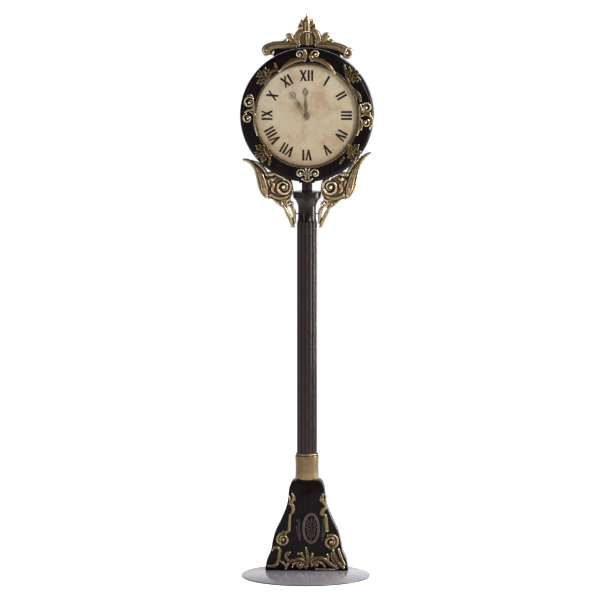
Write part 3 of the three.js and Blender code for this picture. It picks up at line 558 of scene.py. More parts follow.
# ---- Plate, pedestal, column ----
def make_plate():
    radius, top, edge = (plate_high.x - plate_low.x) / 2, plate_high.z, 0.0012
    profile = [(0, 0.0), (radius - edge, 0.0), *rounded(radius - edge, edge, edge, -90, 0, 3),
               *rounded(radius - edge, top - edge, edge, 0, 90, 3), (0, top)]
    use(spun("ground_plate", profile, (0, 0, 0), "Z", 160), STEEL,
        replaces=["base_plate"])


PEDESTAL_LINE = [(1, 0), (0.95, 0.105), (0.8, 0.215), (0.745, 0.326), (0.674, 0.414), (0.571, 0.481),
                 (0.469, 0.547),
                 (0.383, 0.613), (0.297, 0.68), (0.229, 0.768), (0.183, 0.912), (0.08, 0.989), (0, 1)]
PEDESTAL_TOP_HALF = 0.074


def pedestal_half(rise):
    for (s0, r0), (s1, r1) in zip(PEDESTAL_LINE, PEDESTAL_LINE[1:]):
        if rise <= r1:
            share = s0 + (s1 - s0) * (rise - r0) / (r1 - r0)
            return PEDESTAL_TOP_HALF + (pedestal_high.x - PEDESTAL_TOP_HALF) * share
    return PEDESTAL_TOP_HALF


def slab(name, outline, y0, y1):
    """A flat plate between two depths, with a closed outline of [x, z] points."""
    piece = chain(name, [(x, y0, z) for x, z in outline], closed=True)
    bpy.ops.object.mode_set(mode="EDIT")
    bpy.ops.mesh.select_all(action="SELECT")
    bpy.ops.mesh.edge_face_add()
    bpy.ops.mesh.extrude_region_move(TRANSFORM_OT_translate={"value": (0, y1 - y0, 0)})
    bpy.ops.object.mode_set(mode="OBJECT")
    tidy_mesh(piece)
    return piece


def make_pedestal():
    rises = [i / 40 for i in range(41)]
    foot = pedestal_low.z
    edge = [(pedestal_half(r), foot + (pedestal_high.z - foot) * r) for r in rises]
    outline = edge + [(-x, z) for x, z in reversed(edge)]
    piece = slab("pedestal", outline, pedestal_low.y, pedestal_high.y)
    modify(piece, "BEVEL", width=0.007, segments=4, limit_method="ANGLE", angle_limit=math.radians(50))
    use(settle(piece, 40), ENAMEL, replaces=["pedestal_shell"])


def make_collar():
    top = collar_high.z - 0.03
    foot = collar_low.z
    r = (collar_high.x - collar_low.x) / 2
    lip = top - 0.018
    profile = [(POST_BORE, foot), (r - 0.004, foot), *rounded(r - 0.003, foot + 0.005, 0.003, -90, 0, 3),
               (r - 0.0012, foot + 0.05), (r - 0.002, lip - 0.05), (r, lip - 0.006), *rounded(r - 0.002,
                       lip - 0.002, 0.002, 0, 90, 3),
               (r - 0.006, lip + 0.001), *rounded(r - 0.009, lip + 0.009, 0.006, -60, 60, 5), (r - 0.012,
                       top), (POST_BORE, top)]
    use(spun("collar_cast", profile, (0, AXIS_Y, 0), "Z", 96), SMOOTH_GILT,
        replaces=["collar"])


def make_shaft():
    radius = (shaft_high.x - shaft_low.x) / 2
    flutes, per = 16, 8
    clear_selection()
    bpy.ops.mesh.primitive_circle_add(vertices=flutes * per, radius=radius,
                                      location=(0, AXIS_Y, shaft_low.z), fill_type="NGON")
    piece = named("fluted_shaft")
    depth = [0.0, 0.0006, 0.0028, 0.0052, 0.006, 0.0052, 0.0028, 0.0006]
    for step in range(1, per):
        edit_vertices(piece, lambda i, vertex, step=step: i % per == step)
        share = 1 - depth[step] / radius
        bpy.ops.transform.resize(value=(share, share, 1), center_override=(0, AXIS_Y, shaft_low.z))
    bpy.ops.mesh.select_all(action="SELECT")
    bpy.ops.mesh.extrude_region_move(TRANSFORM_OT_translate={"value": (0, 0, shaft_high.z - shaft_low.z)})
    bpy.ops.object.mode_set(mode="OBJECT")
    tidy_mesh(piece)
    use(settle(piece, 50), COLUMN, replaces=["column_shaft"])


def make_capital():
    foot = capital_low.z + 0.03
    top = capital_high.z
    cap = (capital_high.x - capital_low.x) / 2
    sleeve = 0.054
    profile = [(POST_BORE, foot), (sleeve, foot), *rounded(sleeve + 0.0005, foot + 0.006, 0.004, -60, 60, 4),
               (sleeve, foot + 0.014),
               (sleeve - 0.001, foot + 0.06), (sleeve, foot + 0.095), (sleeve + 0.004,
                       foot + 0.11), (sleeve + 0.014, foot + 0.128),
               (cap - 0.006, foot + 0.14), *rounded(cap - 0.004, foot + 0.147, 0.004, -60, 0, 3), (cap,
                       top - 0.008),
               *rounded(cap - 0.004, top - 0.004, 0.004, 0, 90, 3), (POST_BORE, top)]
    use(spun("capital_cast", profile, (0, AXIS_Y, 0), "Z", 96), COLUMN,
        replaces=["capital"])


def make_neck():
    radius, bore = 0.0315, 0.027
    foot, top = post_low.z, post_high.z
    flange_top = foot + 0.0077
    flange = (post_high.x - post_low.x) / 2
    profile = [(bore, foot), (flange, foot), (flange, flange_top), (radius, flange_top),
               (radius, top - 0.001),
               (radius - 0.001, top), (bore, top)]
    use(spun("post_tube", profile, (0, AXIS_Y, 0), "Z", 64), COLUMN,
        replaces=["core_post"])


# ---- Head ----
def make_head():
    front, back = case_low.y, ring_high.y
    rim, wall, corner, rear_flange = 0.026, 0.006, 0.004, 0.064
    mouth = SIGHT + 0.0093
    doorway = DRUM - wall - rear_flange
    outside = [(mouth, front), (mouth + 0.002, front), (DRUM - rim - 0.002, front),
               *rounded(DRUM - rim, front + rim, rim, -90, 0, 10), *rounded(DRUM - corner, back - corner,
                       corner, 0, 90, 4),
               (DRUM - corner - 0.0015, back), (doorway, back)]
    inside = [(doorway, back - wall), (DRUM - wall, back - wall),
              *rounded(DRUM - rim, front + rim, rim - wall, 0, -90, 6),
              (mouth + wall, front + wall), (mouth + wall, dial_low.y - GAP), (mouth, dial_low.y - GAP)]
    case = spun("drum", outside + inside, (0, 0, HEAD.z), "Y", 144)
    use(case, ENAMEL, replaces=["head_case", "head_back_ring"])

    lip = front - GAP
    profile = [(SIGHT, dial_low.y - GAP), (SIGHT, bezel_low.y + 0.002),
               *rounded(SIGHT + 0.003, bezel_low.y + 0.003, 0.003, 180, 270, 4),
               *rounded(LIP - 0.004, bezel_low.y + 0.0037, 0.0037, 270, 360, 4), (LIP, lip), (SIGHT + 0.009,
                       lip), (SIGHT + 0.009, dial_low.y - GAP)]
    use(spun("bezel_ring", profile, (0, 0, HEAD.z), "Y", 144), SMOOTH_GILT,
        replaces=["bezel"])

    edge = dial_high.x
    dial = spun("dial_plate", [(DIAL_BORE, dial_low.y), (edge, dial_low.y), (edge, dial_high.y),
                               (DIAL_BORE, dial_high.y)], (0, 0, HEAD.z), "Y", 144)
    use(dial, CREAM, replaces=["dial"])


# ---- Castings: bands of [x, z] millimetres from a named centre, each with its half widths ----
MM = 0.001


def bands(list_of_bands, centre, y, flat, mirror=1, lift=None, swell=1.0):
    """Strands from millimetre bands: each is (points, half widths)."""
    made = []
    for points, radii in list_of_bands:
        placed = []
        for x, z in points:
            up = lift(x, z) if lift else 0
            placed.append((centre[0] + mirror * x * MM, centre[1] + (z + up) * MM))
        made.append(strand(placed, [r * swell * MM for r in radii], y, flat))
    return made


def volute(centre, x, z, radius, start, turns, width, y, flat):
    """A rolled scroll: a tapering spiral with a bead in its eye."""
    points = spiral((centre[0] + x * MM, centre[1] + z * MM), radius * MM, start, turns, 0.3)
    made = [strand(points, [width * MM, width * 0.9 * MM, width * 0.55 * MM], y, flat)]
    made.append(bead(centre[0] + x * MM, centre[1] + z * MM, radius * 0.3 * MM, y, flat * 1.3))
    return made


def flat_back(piece, y):
    """Cuts off what lies behind the face that a casting is laid on."""
    width, depth, height = 3, 1, 6
    cut(piece, block((width, depth, height), (0, y + depth / 2, 2)))
    return settle(piece, 60)


def applied(name, parts, y, nodes, voxel=0.0018, finish=FINE_GILT):
    piece = cast(name, parts, voxel)
    flat_back(piece, y)
    return use(piece, finish, replaces=nodes)


RING_CENTRE = (0, HEAD.z)
RING_BACK = FACE_Y - GAP
RING_Y = FACE_Y - 0.003


def make_top_curls():
    parts = bands([
        ([(-14, 392), (-6, 362), (-14, 322)], [8, 12, 7]),
        ([(28, 372), (22, 350), (38, 322)], [5, 11, 6]),
        ([(-16, 330), (-50, 330), (-90, 317), (-128, 294), (-165, 258)], [9, 13, 14, 11, 3]),
        ([(24, 330), (62, 331), (102, 315), (138, 288), (170, 248)], [8, 12, 13, 14, 4]),
        ([(-60, 340), (-96, 327), (-130, 302)], [3, 6, 2]),
        ([(58, 342), (98, 328), (134, 300)], [3, 6, 2]),
    ], RING_CENTRE, RING_Y, 0.7)
    parts += volute(RING_CENTRE, -42, 362, 27, -60, 1.15, 5.5, RING_Y, 1.0)
    parts += volute(RING_CENTRE, 52, 364, 27, 240, -1.15, 5.5, RING_Y, 1.0)
    applied("top_curl_casting", parts, RING_BACK, ["top_curls"])


def make_bottom_curls():
    parts = bands([([(-6, -312), (-4, -345), (-8, -384)], [5, 8, 5]),
                   ([(13, -316), (11, -348), (14, -384)], [5, 8, 5]),
                   ([(-30, -374), (3, -388), (36, -374)], [5, 8, 5])], RING_CENTRE, RING_Y, 0.8)
    parts += volute(RING_CENTRE, -38, -343, 28, -30, 1.2, 5.5, RING_Y, 1.0)
    parts += volute(RING_CENTRE, 50, -343, 28, 210, -1.2, 5.5, RING_Y, 1.0)
    applied("bottom_curl_casting", parts, RING_BACK, ["bottom_curls"])


# One half of a lobed leaf, from its tip round to its stalk, in units of its length.
LEAF_EDGE = [(0, 1.02), (0.17, 0.74), (0.33, 0.74), (0.32, 0.5), (0.5, 0.6), (0.64, 0.57), (0.94, 0.58),
             (0.8, 0.32), (0.84, 0.14),
             (0.58, 0.02), (0.66, -0.26), (0.34, -0.25), (0.08, -0.34)]
LEAF_VEINS = [(0, 0.9), (0.7, 0.5), (-0.7, 0.5), (0.48, -0.12), (-0.48, -0.12)]


def leaf(x, z, length, turn, y):
    """A lobed leaf with raised veins, its tip turned clockwise from straight up."""
    c, s = math.cos(math.radians(turn)), math.sin(math.radians(turn))

    def put(a, b):
        return (x + length * (a * c + b * s), z + length * (b * c - a * s))
    edge = [put(a, b) for a, b in LEAF_EDGE] + [put(-a, b) for a, b in reversed(LEAF_EDGE[1:])]
    outline = [(RING_CENTRE[0] + a * MM, RING_CENTRE[1] + b * MM) for a, b in edge]
    made = [slab("leaf_blade", outline, y - 0.004, y + 0.006)]
    for a, b in LEAF_VEINS:
        made += bands([([put(0, -0.05), put(a * 0.5, b * 0.55), put(a, b)], [5.5, 5, 2])], RING_CENTRE,
                      y - 0.003, 0.9)
    made += bands([([put(a * 0.25, b * 0.25), put(a * 0.55, b * 0.72), put(a * 0.9, b * 0.98)], [5, 9, 3])
                   for a, b in ((0.35, 0.95), (-0.35, 0.95), (0.95, 0.15),
                                (-0.95, 0.15))], RING_CENTRE, y, 0.7)
    return made


def make_leaf_clusters():
    clusters = {
        "upper_left": ([(-240, 224, 60, -62)],
                       [([(-214, 256), (-192, 270), (-160, 262)], [10, 12, 4]),
                        ([(-190, 312), (-184, 290), (-170, 262)], [7, 11, 5])]),
        "upper_right": ([(262, 232, 58, 48)],
                        [([(222, 302), (228, 280), (236, 256)], [7, 11, 6]),
                         ([(232, 238), (246, 202), (268, 158)], [6, 11, 5]),
                         ([(276, 160), (304, 130), (320, 84)],
                          [7, 13, 8]), ([(262, 176), (280, 150), (300, 100)], [6, 8, 4])]),
        "lower_left": ([(-252, -214, 60, -112)],
                       [([(-246, -162), (-228, -202), (-210, -240)], [6, 11, 5]),
                        ([(-222, -246), (-220, -270), (-224, -294)], [8, 12, 5])]),
        "lower_right": ([(266, -216, 60, 104)],
                        [([(238, -164), (248, -190), (242, -226)], [6, 12, 6]),
                         ([(222, -246), (206, -264), (198, -286)], [8, 11, 5])]),
    }
    for name, (leaves, stems) in clusters.items():
        parts = bands(stems, RING_CENTRE, RING_Y, 0.8)
        for x, z, length, turn in leaves:
            parts += leaf(x, z, length, turn, RING_Y)
        applied("leaf_casting_" + name, parts, RING_BACK, ["leaf_" + name], finish=LEAF_GILT)


def make_side_scrolls():
    right = bands([
        ([(318, 70), (330, 30), (352, 14), (380, 16)], [5, 9, 10, 6]),
        ([(318, -4), (344, 8), (374, 0), (388, -36), (372, -80)], [5, 9, 10, 10, 4]),
        ([(322, -24), (326, -52), (320, -84)], [8, 10, 5]),
        ([(316, -20), (312, -70), (298, -118)], [7, 9, 4]),
        ([(316, 60), (314, 10), (318, -30)], [5, 7, 5]),
    ], RING_CENTRE, RING_Y, 0.8)
    right += volute(RING_CENTRE, 354, 48, 30, 140, -1.2, 6, RING_Y, 1.0)
    right += volute(RING_CENTRE, 350, -42, 24, 60, -1.1, 6, RING_Y, 1.0)
    applied("side_scroll_casting_right", right, RING_BACK, ["side_scroll_right"])
    left = bands([
        ([(-320, 110), (-330, 118), (-352, 116)], [5, 8, 6]),
        ([(-338, 26), (-310, 6), (-302, -58)], [5, 11, 4]),
        ([(-318, 100), (-314, 50), (-312, 0)], [5, 8, 5]),
        ([(-368, 18), (-346, 30), (-322, 34)], [5, 8, 6]),
        ([(-312, 0), (-308, -60), (-292, -120)], [5, 8, 3]),
    ], RING_CENTRE, RING_Y, 0.8)
    left += volute(RING_CENTRE, -340, 78, 34, 40, 1.2, 6.5, RING_Y, 1.0)
    left += volute(RING_CENTRE, -350, -16, 28, 100, 1.15, 6, RING_Y, 1.0)
    applied("side_scroll_casting_left", left, RING_BACK, ["side_scroll_left"])


def make_crest():
    flat = 0.62
    seat = 397.6 * MM
    base = [(seat * math.sin(math.radians(a)), HEAD.z + seat * math.cos(math.radians(a))) for a in range(-30,
            31, 2)]
    # A black enamelled web fills the gap between the crest's arms and the drum, so the band under the arms is
    # dark.
    web = slab("crest_dark_web", base + [(0.188, HEAD.z + 0.39), (0.12, HEAD.z + 0.414), (-0.12, HEAD.z + 0.416),
                                     (-0.192, HEAD.z + 0.398)],
               AXIS_Y - 0.009, AXIS_Y + 0.009)
    modify(web, "BEVEL", width=0.002, segments=3)
    use(settle(web, 35), ENAMEL)
    shield = slab("crest_shield", [(x * MM, HEAD.z + z * MM) for x, z in (
        (-66, 400), (-70, 440), (-58, 492), (-34, 534), (-20, 566), (0, 596), (20, 566), (40, 534), (64,
                492), (78, 440), (74, 400))],
        AXIS_Y - 0.005, AXIS_Y + 0.005)
    parts = [shield] + bands([
        ([(0, 492), (0, 545), (1, 604)], [26, 22, 3]),
        ([(-14, 492), (-40, 514), (-44, 542)], [16, 17, 4]),
        ([(14, 492), (44, 512), (46, 540)], [16, 17, 4]),
        ([(-16, 520), (-32, 546), (-28, 574)], [11, 12, 3]),
        ([(16, 520), (34, 546), (30, 574)], [11, 12, 3]),
        ([(-8, 500), (-18, 545), (-10, 580)], [8, 9, 3]),
        ([(10, 500), (22, 545), (12, 580)], [8, 9, 3]),
        ([(4, 404), (4, 455), (4, 505)], [15, 18, 15]),
        ([(-14, 504), (-48, 482), (-60, 440), (-48, 404)], [13, 21, 24, 17]),
        ([(22, 504), (56, 482), (66, 440), (54, 404)], [13, 21, 24, 17]),
        ([(-22, 490), (-26, 450), (-24, 406)], [7, 9, 7]),
        ([(30, 490), (34, 450), (32, 406)], [7, 9, 7]),
        ([(-48, 466), (-50, 436), (-50, 404)], [5, 9, 8]),
        ([(-30, 438), (-31, 422), (-31, 404)], [5, 8, 8]),
        ([(48, 462), (52, 436), (50, 404)], [5, 9, 7]),
        ([(24, 490), (28, 450), (26, 404)], [8, 11, 11]),
        ([(-86, 404), (-90, 440), (-106, 468), (-126, 460)], [18, 20, 19, 11]),
        ([(-122, 404), (-130, 430), (-118, 446)], [17, 18, 10]),
        ([(94, 404), (98, 436), (116, 472), (138, 466)], [18, 21, 20, 11]),
        ([(136, 404), (144, 430), (130, 448)], [18, 19, 10]),
        ([(-60, 410), (-130, 411), (-190, 410), (-230, 396)], [21, 25, 26, 29]),
        ([(60, 412), (130, 411), (190, 398), (232, 378)], [21, 26, 28, 29]),
        ([(-80, 400), (-150, 396), (-206, 384)], [8, 10, 7]),
        ([(96, 398), (160, 382), (214, 356)], [8, 10, 8]),
        ([(-70, 428), (-140, 432), (-206, 430)], [5, 7, 5]),
        ([(80, 430), (140, 430), (206, 416)], [5, 7, 5]),
    ], RING_CENTRE, AXIS_Y, flat)
    parts += bands([([(-222, 404), (-240, 385), (-232, 352)], [26, 31, 20])], RING_CENTRE, AXIS_Y, flat)
    parts += bands([([(-206, 376), (-202, 366), (-206, 352)], [7, 10, 7])], RING_CENTRE, AXIS_Y, 1.0)
    parts += volute(RING_CENTRE, 236, 366, 30, 75, -1.4, 12, AXIS_Y, 1.0)
    parts += volute(RING_CENTRE, -238, 380, 22, 60, 1.3, 9, AXIS_Y - 0.008, 1.0)
    piece = cast("crest_casting", parts, 0.0021, 2)
    use(piece, GILT, replaces=["crest"])


BRACKET_BANDS = [
    ([(-384, -268), (-348, -276), (-310, -314), (-292, -372), (-280, -430), (-256, -478), (-226, -506)],
     [8, 13, 14, 13, 12, 12, 5]),
    ([(-326, -290), (-288, -334), (-264, -392), (-252, -440), (-240, -486)], [8, 20, 25, 28, 14]),
    ([(-330, -272), (-284, -296), (-252, -332), (-232, -368)], [5, 11, 12, 8]),
    ([(-300, -300), (-268, -340), (-246, -380)], [4, 7, 4]),
    ([(-246, -356), (-212, -352), (-178, -344)], [12, 16, 8]),
    ([(-228, -384), (-206, -384), (-182, -370)], [8, 15, 8]),
    ([(-212, -396), (-200, -420), (-206, -448), (-192, -466)], [8, 13, 12, 8]),
    ([(-240, -420), (-226, -456), (-214, -484)], [6, 9, 5]),
    ([(-108, -366), (-96, -412), (-90, -450), (-82, -478)], [6, 11, 11, 7]),
    ([(-150, -366), (-122, -364), (-106, -378)], [6, 9, 7]),
    ([(-222, -476), (-170, -496), (-124, -490), (-96, -470)], [12, 13, 12, 7]),
    ([(-228, -494), (-176, -510), (-128, -506), (-98, -496)], [7, 9, 9, 8]),
    ([(-200, -500), (-172, -526), (-150, -550)], [8, 13, 6]),
    ([(-172, -504), (-150, -532), (-136, -558)], [7, 12, 6]),
    ([(-148, -506), (-128, -530), (-114, -552)], [6, 10, 5]),
    ([(-262, -372), (-234, -398), (-222, -430)], [7, 15, 8]),
    ([(-250, -404), (-236, -436), (-222, -462)], [5, 10, 5]),
    ([(-232, -350), (-206, -372), (-194, -400)], [5, 9, 5]),
    ([(-140, -540), (-116, -588), (-94, -634), (-81, -676)], [9, 14, 14, 11]),
    ([(-92, -546), (-80, -572), (-75, -612), (-70, -650)], [9, 14, 10, 6]),
    ([(-122, -568), (-101, -606), (-84, -640)], [5, 7, 4]),
]
BRACKET_WEB = [(-296, -304), (-225, -350), (-180, -360), (-140, -380), (-112, -388), (-96, -430),
               (-92, -490), (-124, -510),
               (-190, -508), (-244, -482), (-268, -430), (-284, -370)]


def make_brackets():
    flat = 0.8
    for name, side, rise in (("left", 1, 0), ("right", -1, 45)):
        def lift(x, z, rise=rise):
            away = min(max((-x - 240) / 150, 0), 1)
            return rise * away * min(max((z + 480) / 200, 0), 1)
        parts = bands(BRACKET_BANDS, RING_CENTRE, AXIS_Y, flat, side, lift)
        parts += volute(RING_CENTRE, side * -140, -430, 50, 90, side * -1.6, 11, AXIS_Y, 1.1)
        parts += volute(RING_CENTRE, side * -100, -528, 25, 90, side * 1.3, 8, AXIS_Y, 1.1)
        web = [(side * x * MM, HEAD.z + (z + lift(x, z)) * MM) for x, z in BRACKET_WEB]
        parts.append(slab("bracket_web", web if side > 0 else web[::-1], AXIS_Y - 0.005, AXIS_Y + 0.005))
        piece = cast("scroll_bracket_" + name, parts, 0.0023, 2)
        use(piece, GILT, replaces=["bracket_" + name])


FOOT_CENTRE = (0, plate_high.z)
FACE_BACK = PEDESTAL_FACE - GAP
FACE_LINE = PEDESTAL_FACE - 0.003


def make_pedestal_castings():
    left = bands([
        ([(-88, 470), (-78, 436), (-92, 410), (-80, 384), (-84, 356), (-98, 336)], [4, 11, 8, 11, 9, 4]),
        ([(-98, 340), (-102, 290), (-104, 240)], [6, 8, 8]),
        ([(-112, 460), (-98, 430), (-102, 400)], [3, 6, 3]),
        ([(-104, 244), (-118, 236), (-144, 234)], [8, 9, 6]),
        ([(-206, 120), (-190, 138), (-164, 130), (-162, 96), (-170, 58), (-190, 32), (-232, 28)],
         [5, 10, 10, 9, 9, 10, 5]),
        ([(-170, 150), (-176, 140), (-176, 128)], [4, 7, 5]),
        ([(-160, 60), (-140, 46), (-118, 22)], [5, 9, 4]),
    ], FOOT_CENTRE, FACE_LINE, 0.95, swell=1.2)
    left += volute(FOOT_CENTRE, -140, 188, 40, 60, 1.6, 8.5, FACE_LINE, 1.0)
    applied("pedestal_scroll_casting_left", left, FACE_BACK, ["pedestal_scroll_left"])
    right = bands([
        ([(100, 468), (90, 432), (104, 408), (114, 390), (98, 368), (92, 346), (112, 336)],
         [5, 13, 9, 9, 11, 12, 5]),
        ([(112, 340), (117, 290), (122, 238)], [7, 10, 9]),
        ([(122, 460), (114, 430), (120, 400)], [3, 6, 3]),
        ([(158, 130), (172, 84), (196, 42), (226, 16)], [7, 12, 12, 6]),
        ([(190, 136), (204, 86), (230, 34)], [5, 9, 5]),
        ([(150, 110), (158, 70), (180, 30)], [4, 8, 5]),
        ([(104, 66), (142, 42), (186, 14)], [6, 11, 6]),
    ], FOOT_CENTRE, FACE_LINE, 0.95, swell=1.2)
    right += volute(FOOT_CENTRE, 146, 174, 45, 120, -1.7, 9, FACE_LINE, 1.0)
    applied("pedestal_scroll_casting_right", right, FACE_BACK, ["pedestal_scroll_right"])
    leaf = bands([
        ([(3, 26), (6, 90), (-4, 142)], [10, 11, 5]),
        ([(-54, 104), (-34, 102), (-14, 70)], [7, 9, 5]),
        ([(-30, 112), (-24, 96), (-14, 76)], [4, 6, 4]),
        ([(36, 108), (32, 84), (20, 62)], [6, 8, 5]),
        ([(-96, 112), (-120, 102), (-122, 78), (-104, 60), (-72, 64), (-40, 70), (-14, 56), (0, 28)],
         [4, 8, 9, 9, 10, 10, 8, 5]),
        ([(18, 50), (46, 72), (80, 78), (112, 68), (142, 42), (184, 12)], [7, 10, 11, 10, 9, 5]),
        ([(124, 102), (130, 80), (116, 62)], [6, 8, 5]),
        ([(-88, 60), (-114, 38), (-126, 10)], [6, 8, 6]),
        ([(-60, 56), (-78, 40), (-86, 20)], [5, 7, 3]),
        ([(24, 54), (32, 38), (30, 24)], [5, 7, 4]),
        ([(60, 60), (92, 44), (112, 22)], [5, 7, 4]),
        ([(-18, 40), (-8, 26), (0, 14)], [5, 7, 4]),
        ([(54, 11), (110, 9), (170, 9)], [4, 5, 3]),
    ], FOOT_CENTRE, FACE_LINE, 0.95, swell=1.2)
    leaf += [bead(-0.112, FOOT_CENTRE[1] + 0.100, 0.011, FACE_LINE)]
    leaf += volute(FOOT_CENTRE, -38, 34, 21, 60, 1.3, 8, FACE_LINE, 0.9)
    leaf += volute(FOOT_CENTRE, 54, 42, 17, 150, -1.2, 7, FACE_LINE, 0.9)
    leaf += [bead(0.056, FOOT_CENTRE[1] + 0.054, 0.010, FACE_LINE)]
    applied("foot_leaf_casting", leaf, FACE_BACK, ["pedestal_foot_leaf"])


def make_medallion():
    """An oval with a sprig in it, in low relief under the paint."""
    centre = (0.027, plate_high.z + 0.256)
    y = PEDESTAL_FACE - 0.0012
    rim = [(49 * math.cos(math.radians(a)), 90 * math.sin(math.radians(a))) for a in range(0, 361, 15)]
    parts = bands([(rim, [3, 3, 3]), ([(x * 0.85, z * 0.9) for x, z in rim], [1.5, 1.5, 1.5])], centre, y,
                  0.9)
    sprig = [([(-4, -70), (6, -30), (-4, 10), (4, 60)], [5, 5, 4, 2])]
    for z in (-56, -34, -12, 10, 32):
        for side in (-1, 1):
            reach = 33 - abs(z + 8) * 0.22
            sprig.append(([(0, z), (side * reach * 0.55, z + 8), (side * reach, z + 24)], [3, 6.5, 1.5]))
    parts += bands(sprig, centre, y, 0.7)
    for side, x in ((-1, -66), (1, 66)):
        parts += bands([([(x + side * 22, 14), (x + side * 14, -30), (x, -74)], [2, 5, 2]),
                        ([(x + side * 6, 40), (x + side * 6, 0), (x, -50)], [2, 4, 2]),
                        ([(x + side * 24, 52), (x + side * 12, 44), (x + side * 4, 58)],
                         [2, 4, 2])], centre, y, 0.7)
    medallion = joined("medallion", parts)
    modify(medallion, "REMESH", mode="VOXEL", voxel_size=0.0014)
    flat_back(medallion, PEDESTAL_FACE - 0.0002)
    use(medallion, RUBBED_PAINTED_LIGHT)


# ---- Numerals and hands ----
NUMERALS = ["XII", "I", "II", "III", "IV", "V", "VI", "VII", "VIII", "IX", "X", "XI"]
NUMERAL_FOOT, NUMERAL_HEAD = 0.203, 0.268
STROKE, STROKE_THICK = 0.0135, 0.0012


def bar(x_foot, x_head, foot_width, head_width):
    """One upright stroke, its foot at the lower end, with chamfered edges."""
    made = block((foot_width, STROKE_THICK, NUMERAL_HEAD - NUMERAL_FOOT), (x_foot, 0, 0))
    edit_vertices(made, lambda i, vertex: vertex.co.z > 0)
    bpy.ops.transform.resize(value=(head_width / foot_width, 1, 1), center_override=(x_foot, 0, 0))
    bpy.ops.transform.translate(value=(x_head - x_foot, 0, 0))
    bpy.ops.mesh.select_all(action="SELECT")
    bpy.ops.mesh.bevel(offset=0.0005, segments=2, affect="EDGES")
    bpy.ops.object.mode_set(mode="OBJECT")
    return made


def numeral(text, index):
    widths = {"I": 0.013, "V": 0.033, "X": 0.036}
    gap = 0.0075
    total = sum(widths[c] for c in text) + gap * (len(text) - 1)
    x = -total / 2
    strokes = []
    for letter in text:
        wide = widths[letter]
        left, right, middle = x + 0.003, x + wide - 0.003, x + wide / 2
        if letter == "I":
            strokes.append(bar(middle, middle, STROKE * 0.8, STROKE))
        elif letter == "V":
            strokes.append(bar(middle, left, STROKE * 0.7, STROKE * 1.1))
            strokes.append(bar(middle, right, STROKE * 0.6, STROKE * 0.75))
        else:
            strokes.append(bar(right, left, STROKE, STROKE * 1.1))
            strokes.append(bar(left, right, STROKE * 0.75, STROKE * 0.8))
        x += wide + gap
    piece = joined("numeral_%d" % (index or 12), strokes)
    if len(strokes) > 1 and text != "I" * len(text):
        modify(piece, "REMESH", mode="VOXEL", voxel_size=0.0006)
    angle = math.radians(30 * index)
    middle = (NUMERAL_FOOT + NUMERAL_HEAD) / 2
    piece.rotation_euler = (0, angle, 0)
    piece.location = (middle * math.sin(angle), dial_low.y - 0.0008, HEAD.z + middle * math.cos(angle))
    use(settle(piece, 40), INK)


def make_hand(name, node, body, angle, length, loop, swell, bore, y):
    """An openwork hand: a tapering tail, a hub, a solid swelling and an open loop below the tip."""
    (loop_low, loop_half), (swell_low, swell_high, swell_half) = loop, swell
    loop_middle = (loop_low + length) / 2
    tail = -0.16 * length
    flat = 0.45
    parts = bands([
        ([(0, tail), (0, tail * 0.5), (0, -bore * 0.5)], [3.4, 5, 6]),
        ([(0, bore * 0.5), (0, swell_low), (0, (swell_low + swell_high) / 2), (0, swell_high)],
         [5, 4, swell_half, 3]),
        ([(0, swell_high - 2), (0, (swell_high + loop_low) / 2), (0, loop_low + 2)], [3, 3.2, 3]),
        ([(0, loop_low), (-loop_half, loop_middle - 3), (0, length - 4)], [2.6, 4.2, 2.2]),
        ([(0, loop_low), (loop_half, loop_middle - 3), (0, length - 4)], [2.6, 4.2, 2.2]),
        ([(0, length - 8), (0, length)], [3, 0.8]),
    ], (0, 0), 0, flat)
    half = (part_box(node)[1].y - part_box(node)[0].y) / 2
    clear_selection()
    bpy.ops.mesh.primitive_torus_add(major_radius=(bore + 4) * MM, minor_radius=3.4 * MM, major_segments=48,
                                     minor_segments=12,
                                     rotation=(math.pi / 2, 0, 0))
    hub = bpy.context.object
    hub.scale = (1, 1, half / (3.4 * MM) * 0.98)
    bpy.ops.object.transform_apply(location=True, rotation=True, scale=True)
    piece = joined(name, parts + [hub])
    modify(piece, "REMESH", mode="VOXEL", voxel_size=0.0009)
    modify(piece, "SMOOTH", factor=0.5, iterations=2)
    bore_through(piece, bore * MM)
    piece.rotation_euler = (0, math.radians(angle), 0)
    piece.location = (0, y, HEAD.z)
    use(settle(piece, 50), HAND_BRASS, body=body, replaces=[node])


def make_hands():
    hour_y = (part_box("hour_hand")[0].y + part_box("hour_hand")[1].y) / 2
    minute_y = (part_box("minute_hand")[0].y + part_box("minute_hand")[1].y) / 2
    make_hand("hour_hand_leaf", "hour_hand", "hour_set", HOUR_AT, 168, (116, 11), (34, 96, 10), 9.9, hour_y)
    make_hand("minute_hand_leaf", "minute_hand", "minute_arbor", MINUTE_AT, 172, (122, 12), (42, 104, 11),
              6.6, minute_y)


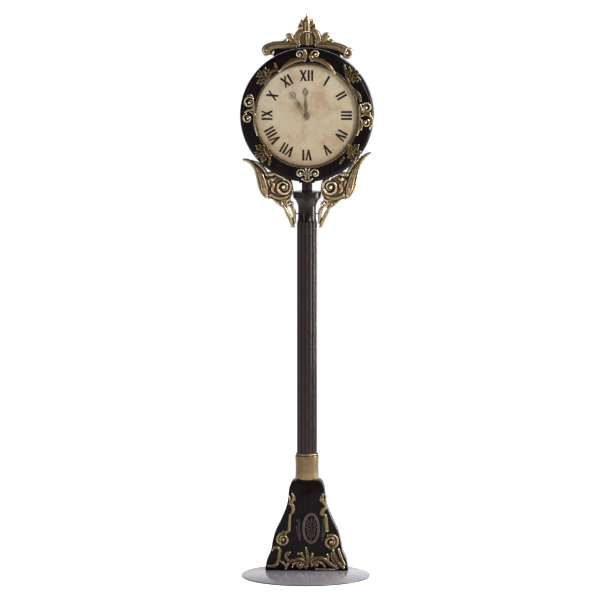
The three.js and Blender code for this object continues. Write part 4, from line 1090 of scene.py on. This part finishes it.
# ---- Rear door and latch ----
def make_back_door():
    front, back, reach = door_low.y, door_high.y, (door_high.x - door_low.x) / 2
    latch_low, latch_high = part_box("door_latch")
    spindle_x = (latch_low.x + latch_high.x) / 2
    edge, bead_in, panel = 0.0012, reach - 0.05, reach - 0.062
    profile = [(0, front), (reach - edge, front), (reach, front + edge), (reach, back - 0.0016 - edge),
               (reach - edge, back - 0.0016),
               (bead_in + 0.004, back - 0.0016), (bead_in + 0.001, back), (bead_in - 0.003, back), (panel,
                       back - 0.0018),
               (0.02, back - 0.0014), (0, back - 0.0014)]
    door = spun("round_back_door", profile, (0, 0, HEAD.z), "Y", 144)
    bore_through(door, SPINDLE_BORE, (spindle_x, (front + back) / 2, HEAD.z))
    use(settle(door, 30), ENAMEL, body="rear_door", replaces=["back_door"])


def make_latch():
    low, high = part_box("door_latch")
    x, knob, thick = (low.x + high.x) / 2, (high.x - low.x) / 2, 0.003
    rear = high.y - 0.010
    disc = spun("latch_knob", [(0, rear), (knob - 0.001, rear), (knob, rear + 0.001),
                               (knob, rear + thick - 0.001), (knob - 0.002, rear + thick),
                               (0, rear + thick)], (x, 0, HEAD.z), "Y", 48)
    shank = spun("latch_shank", [(0, low.y), (SPINDLE, low.y), (SPINDLE, rear + 0.001), (0, rear + 0.001)],
                 (x, 0, HEAD.z), "Y", 32)
    blocks = []
    for size, at, round_over in (
            ((0.008, high.y - rear, 2 * knob - 0.001), (x, (high.y + rear) / 2, HEAD.z), 0.0022),
            ((0.016, 0.004, high.z - HEAD.z + 0.008), (x, low.y + 0.002, (high.z + HEAD.z - 0.008) / 2),
             0.001)):
        made = block(size, at)
        modify(made, "BEVEL", width=round_over, segments=3)
        blocks.append(made)
    use(settle(joined("thumb_latch", [disc, shank] + blocks), 35), ZINC, body="latch",
        replaces=["door_latch"])


make_top_curls()
make_bottom_curls()
make_leaf_clusters()
make_side_scrolls()
make_crest()
make_brackets()
make_pedestal_castings()
make_medallion()
for index, text in enumerate(NUMERALS):
    numeral(text, index)
make_hands()
make_back_door()
make_latch()
make_plate()
make_pedestal()
make_collar()
make_shaft()
make_capital()
make_neck()
make_head()
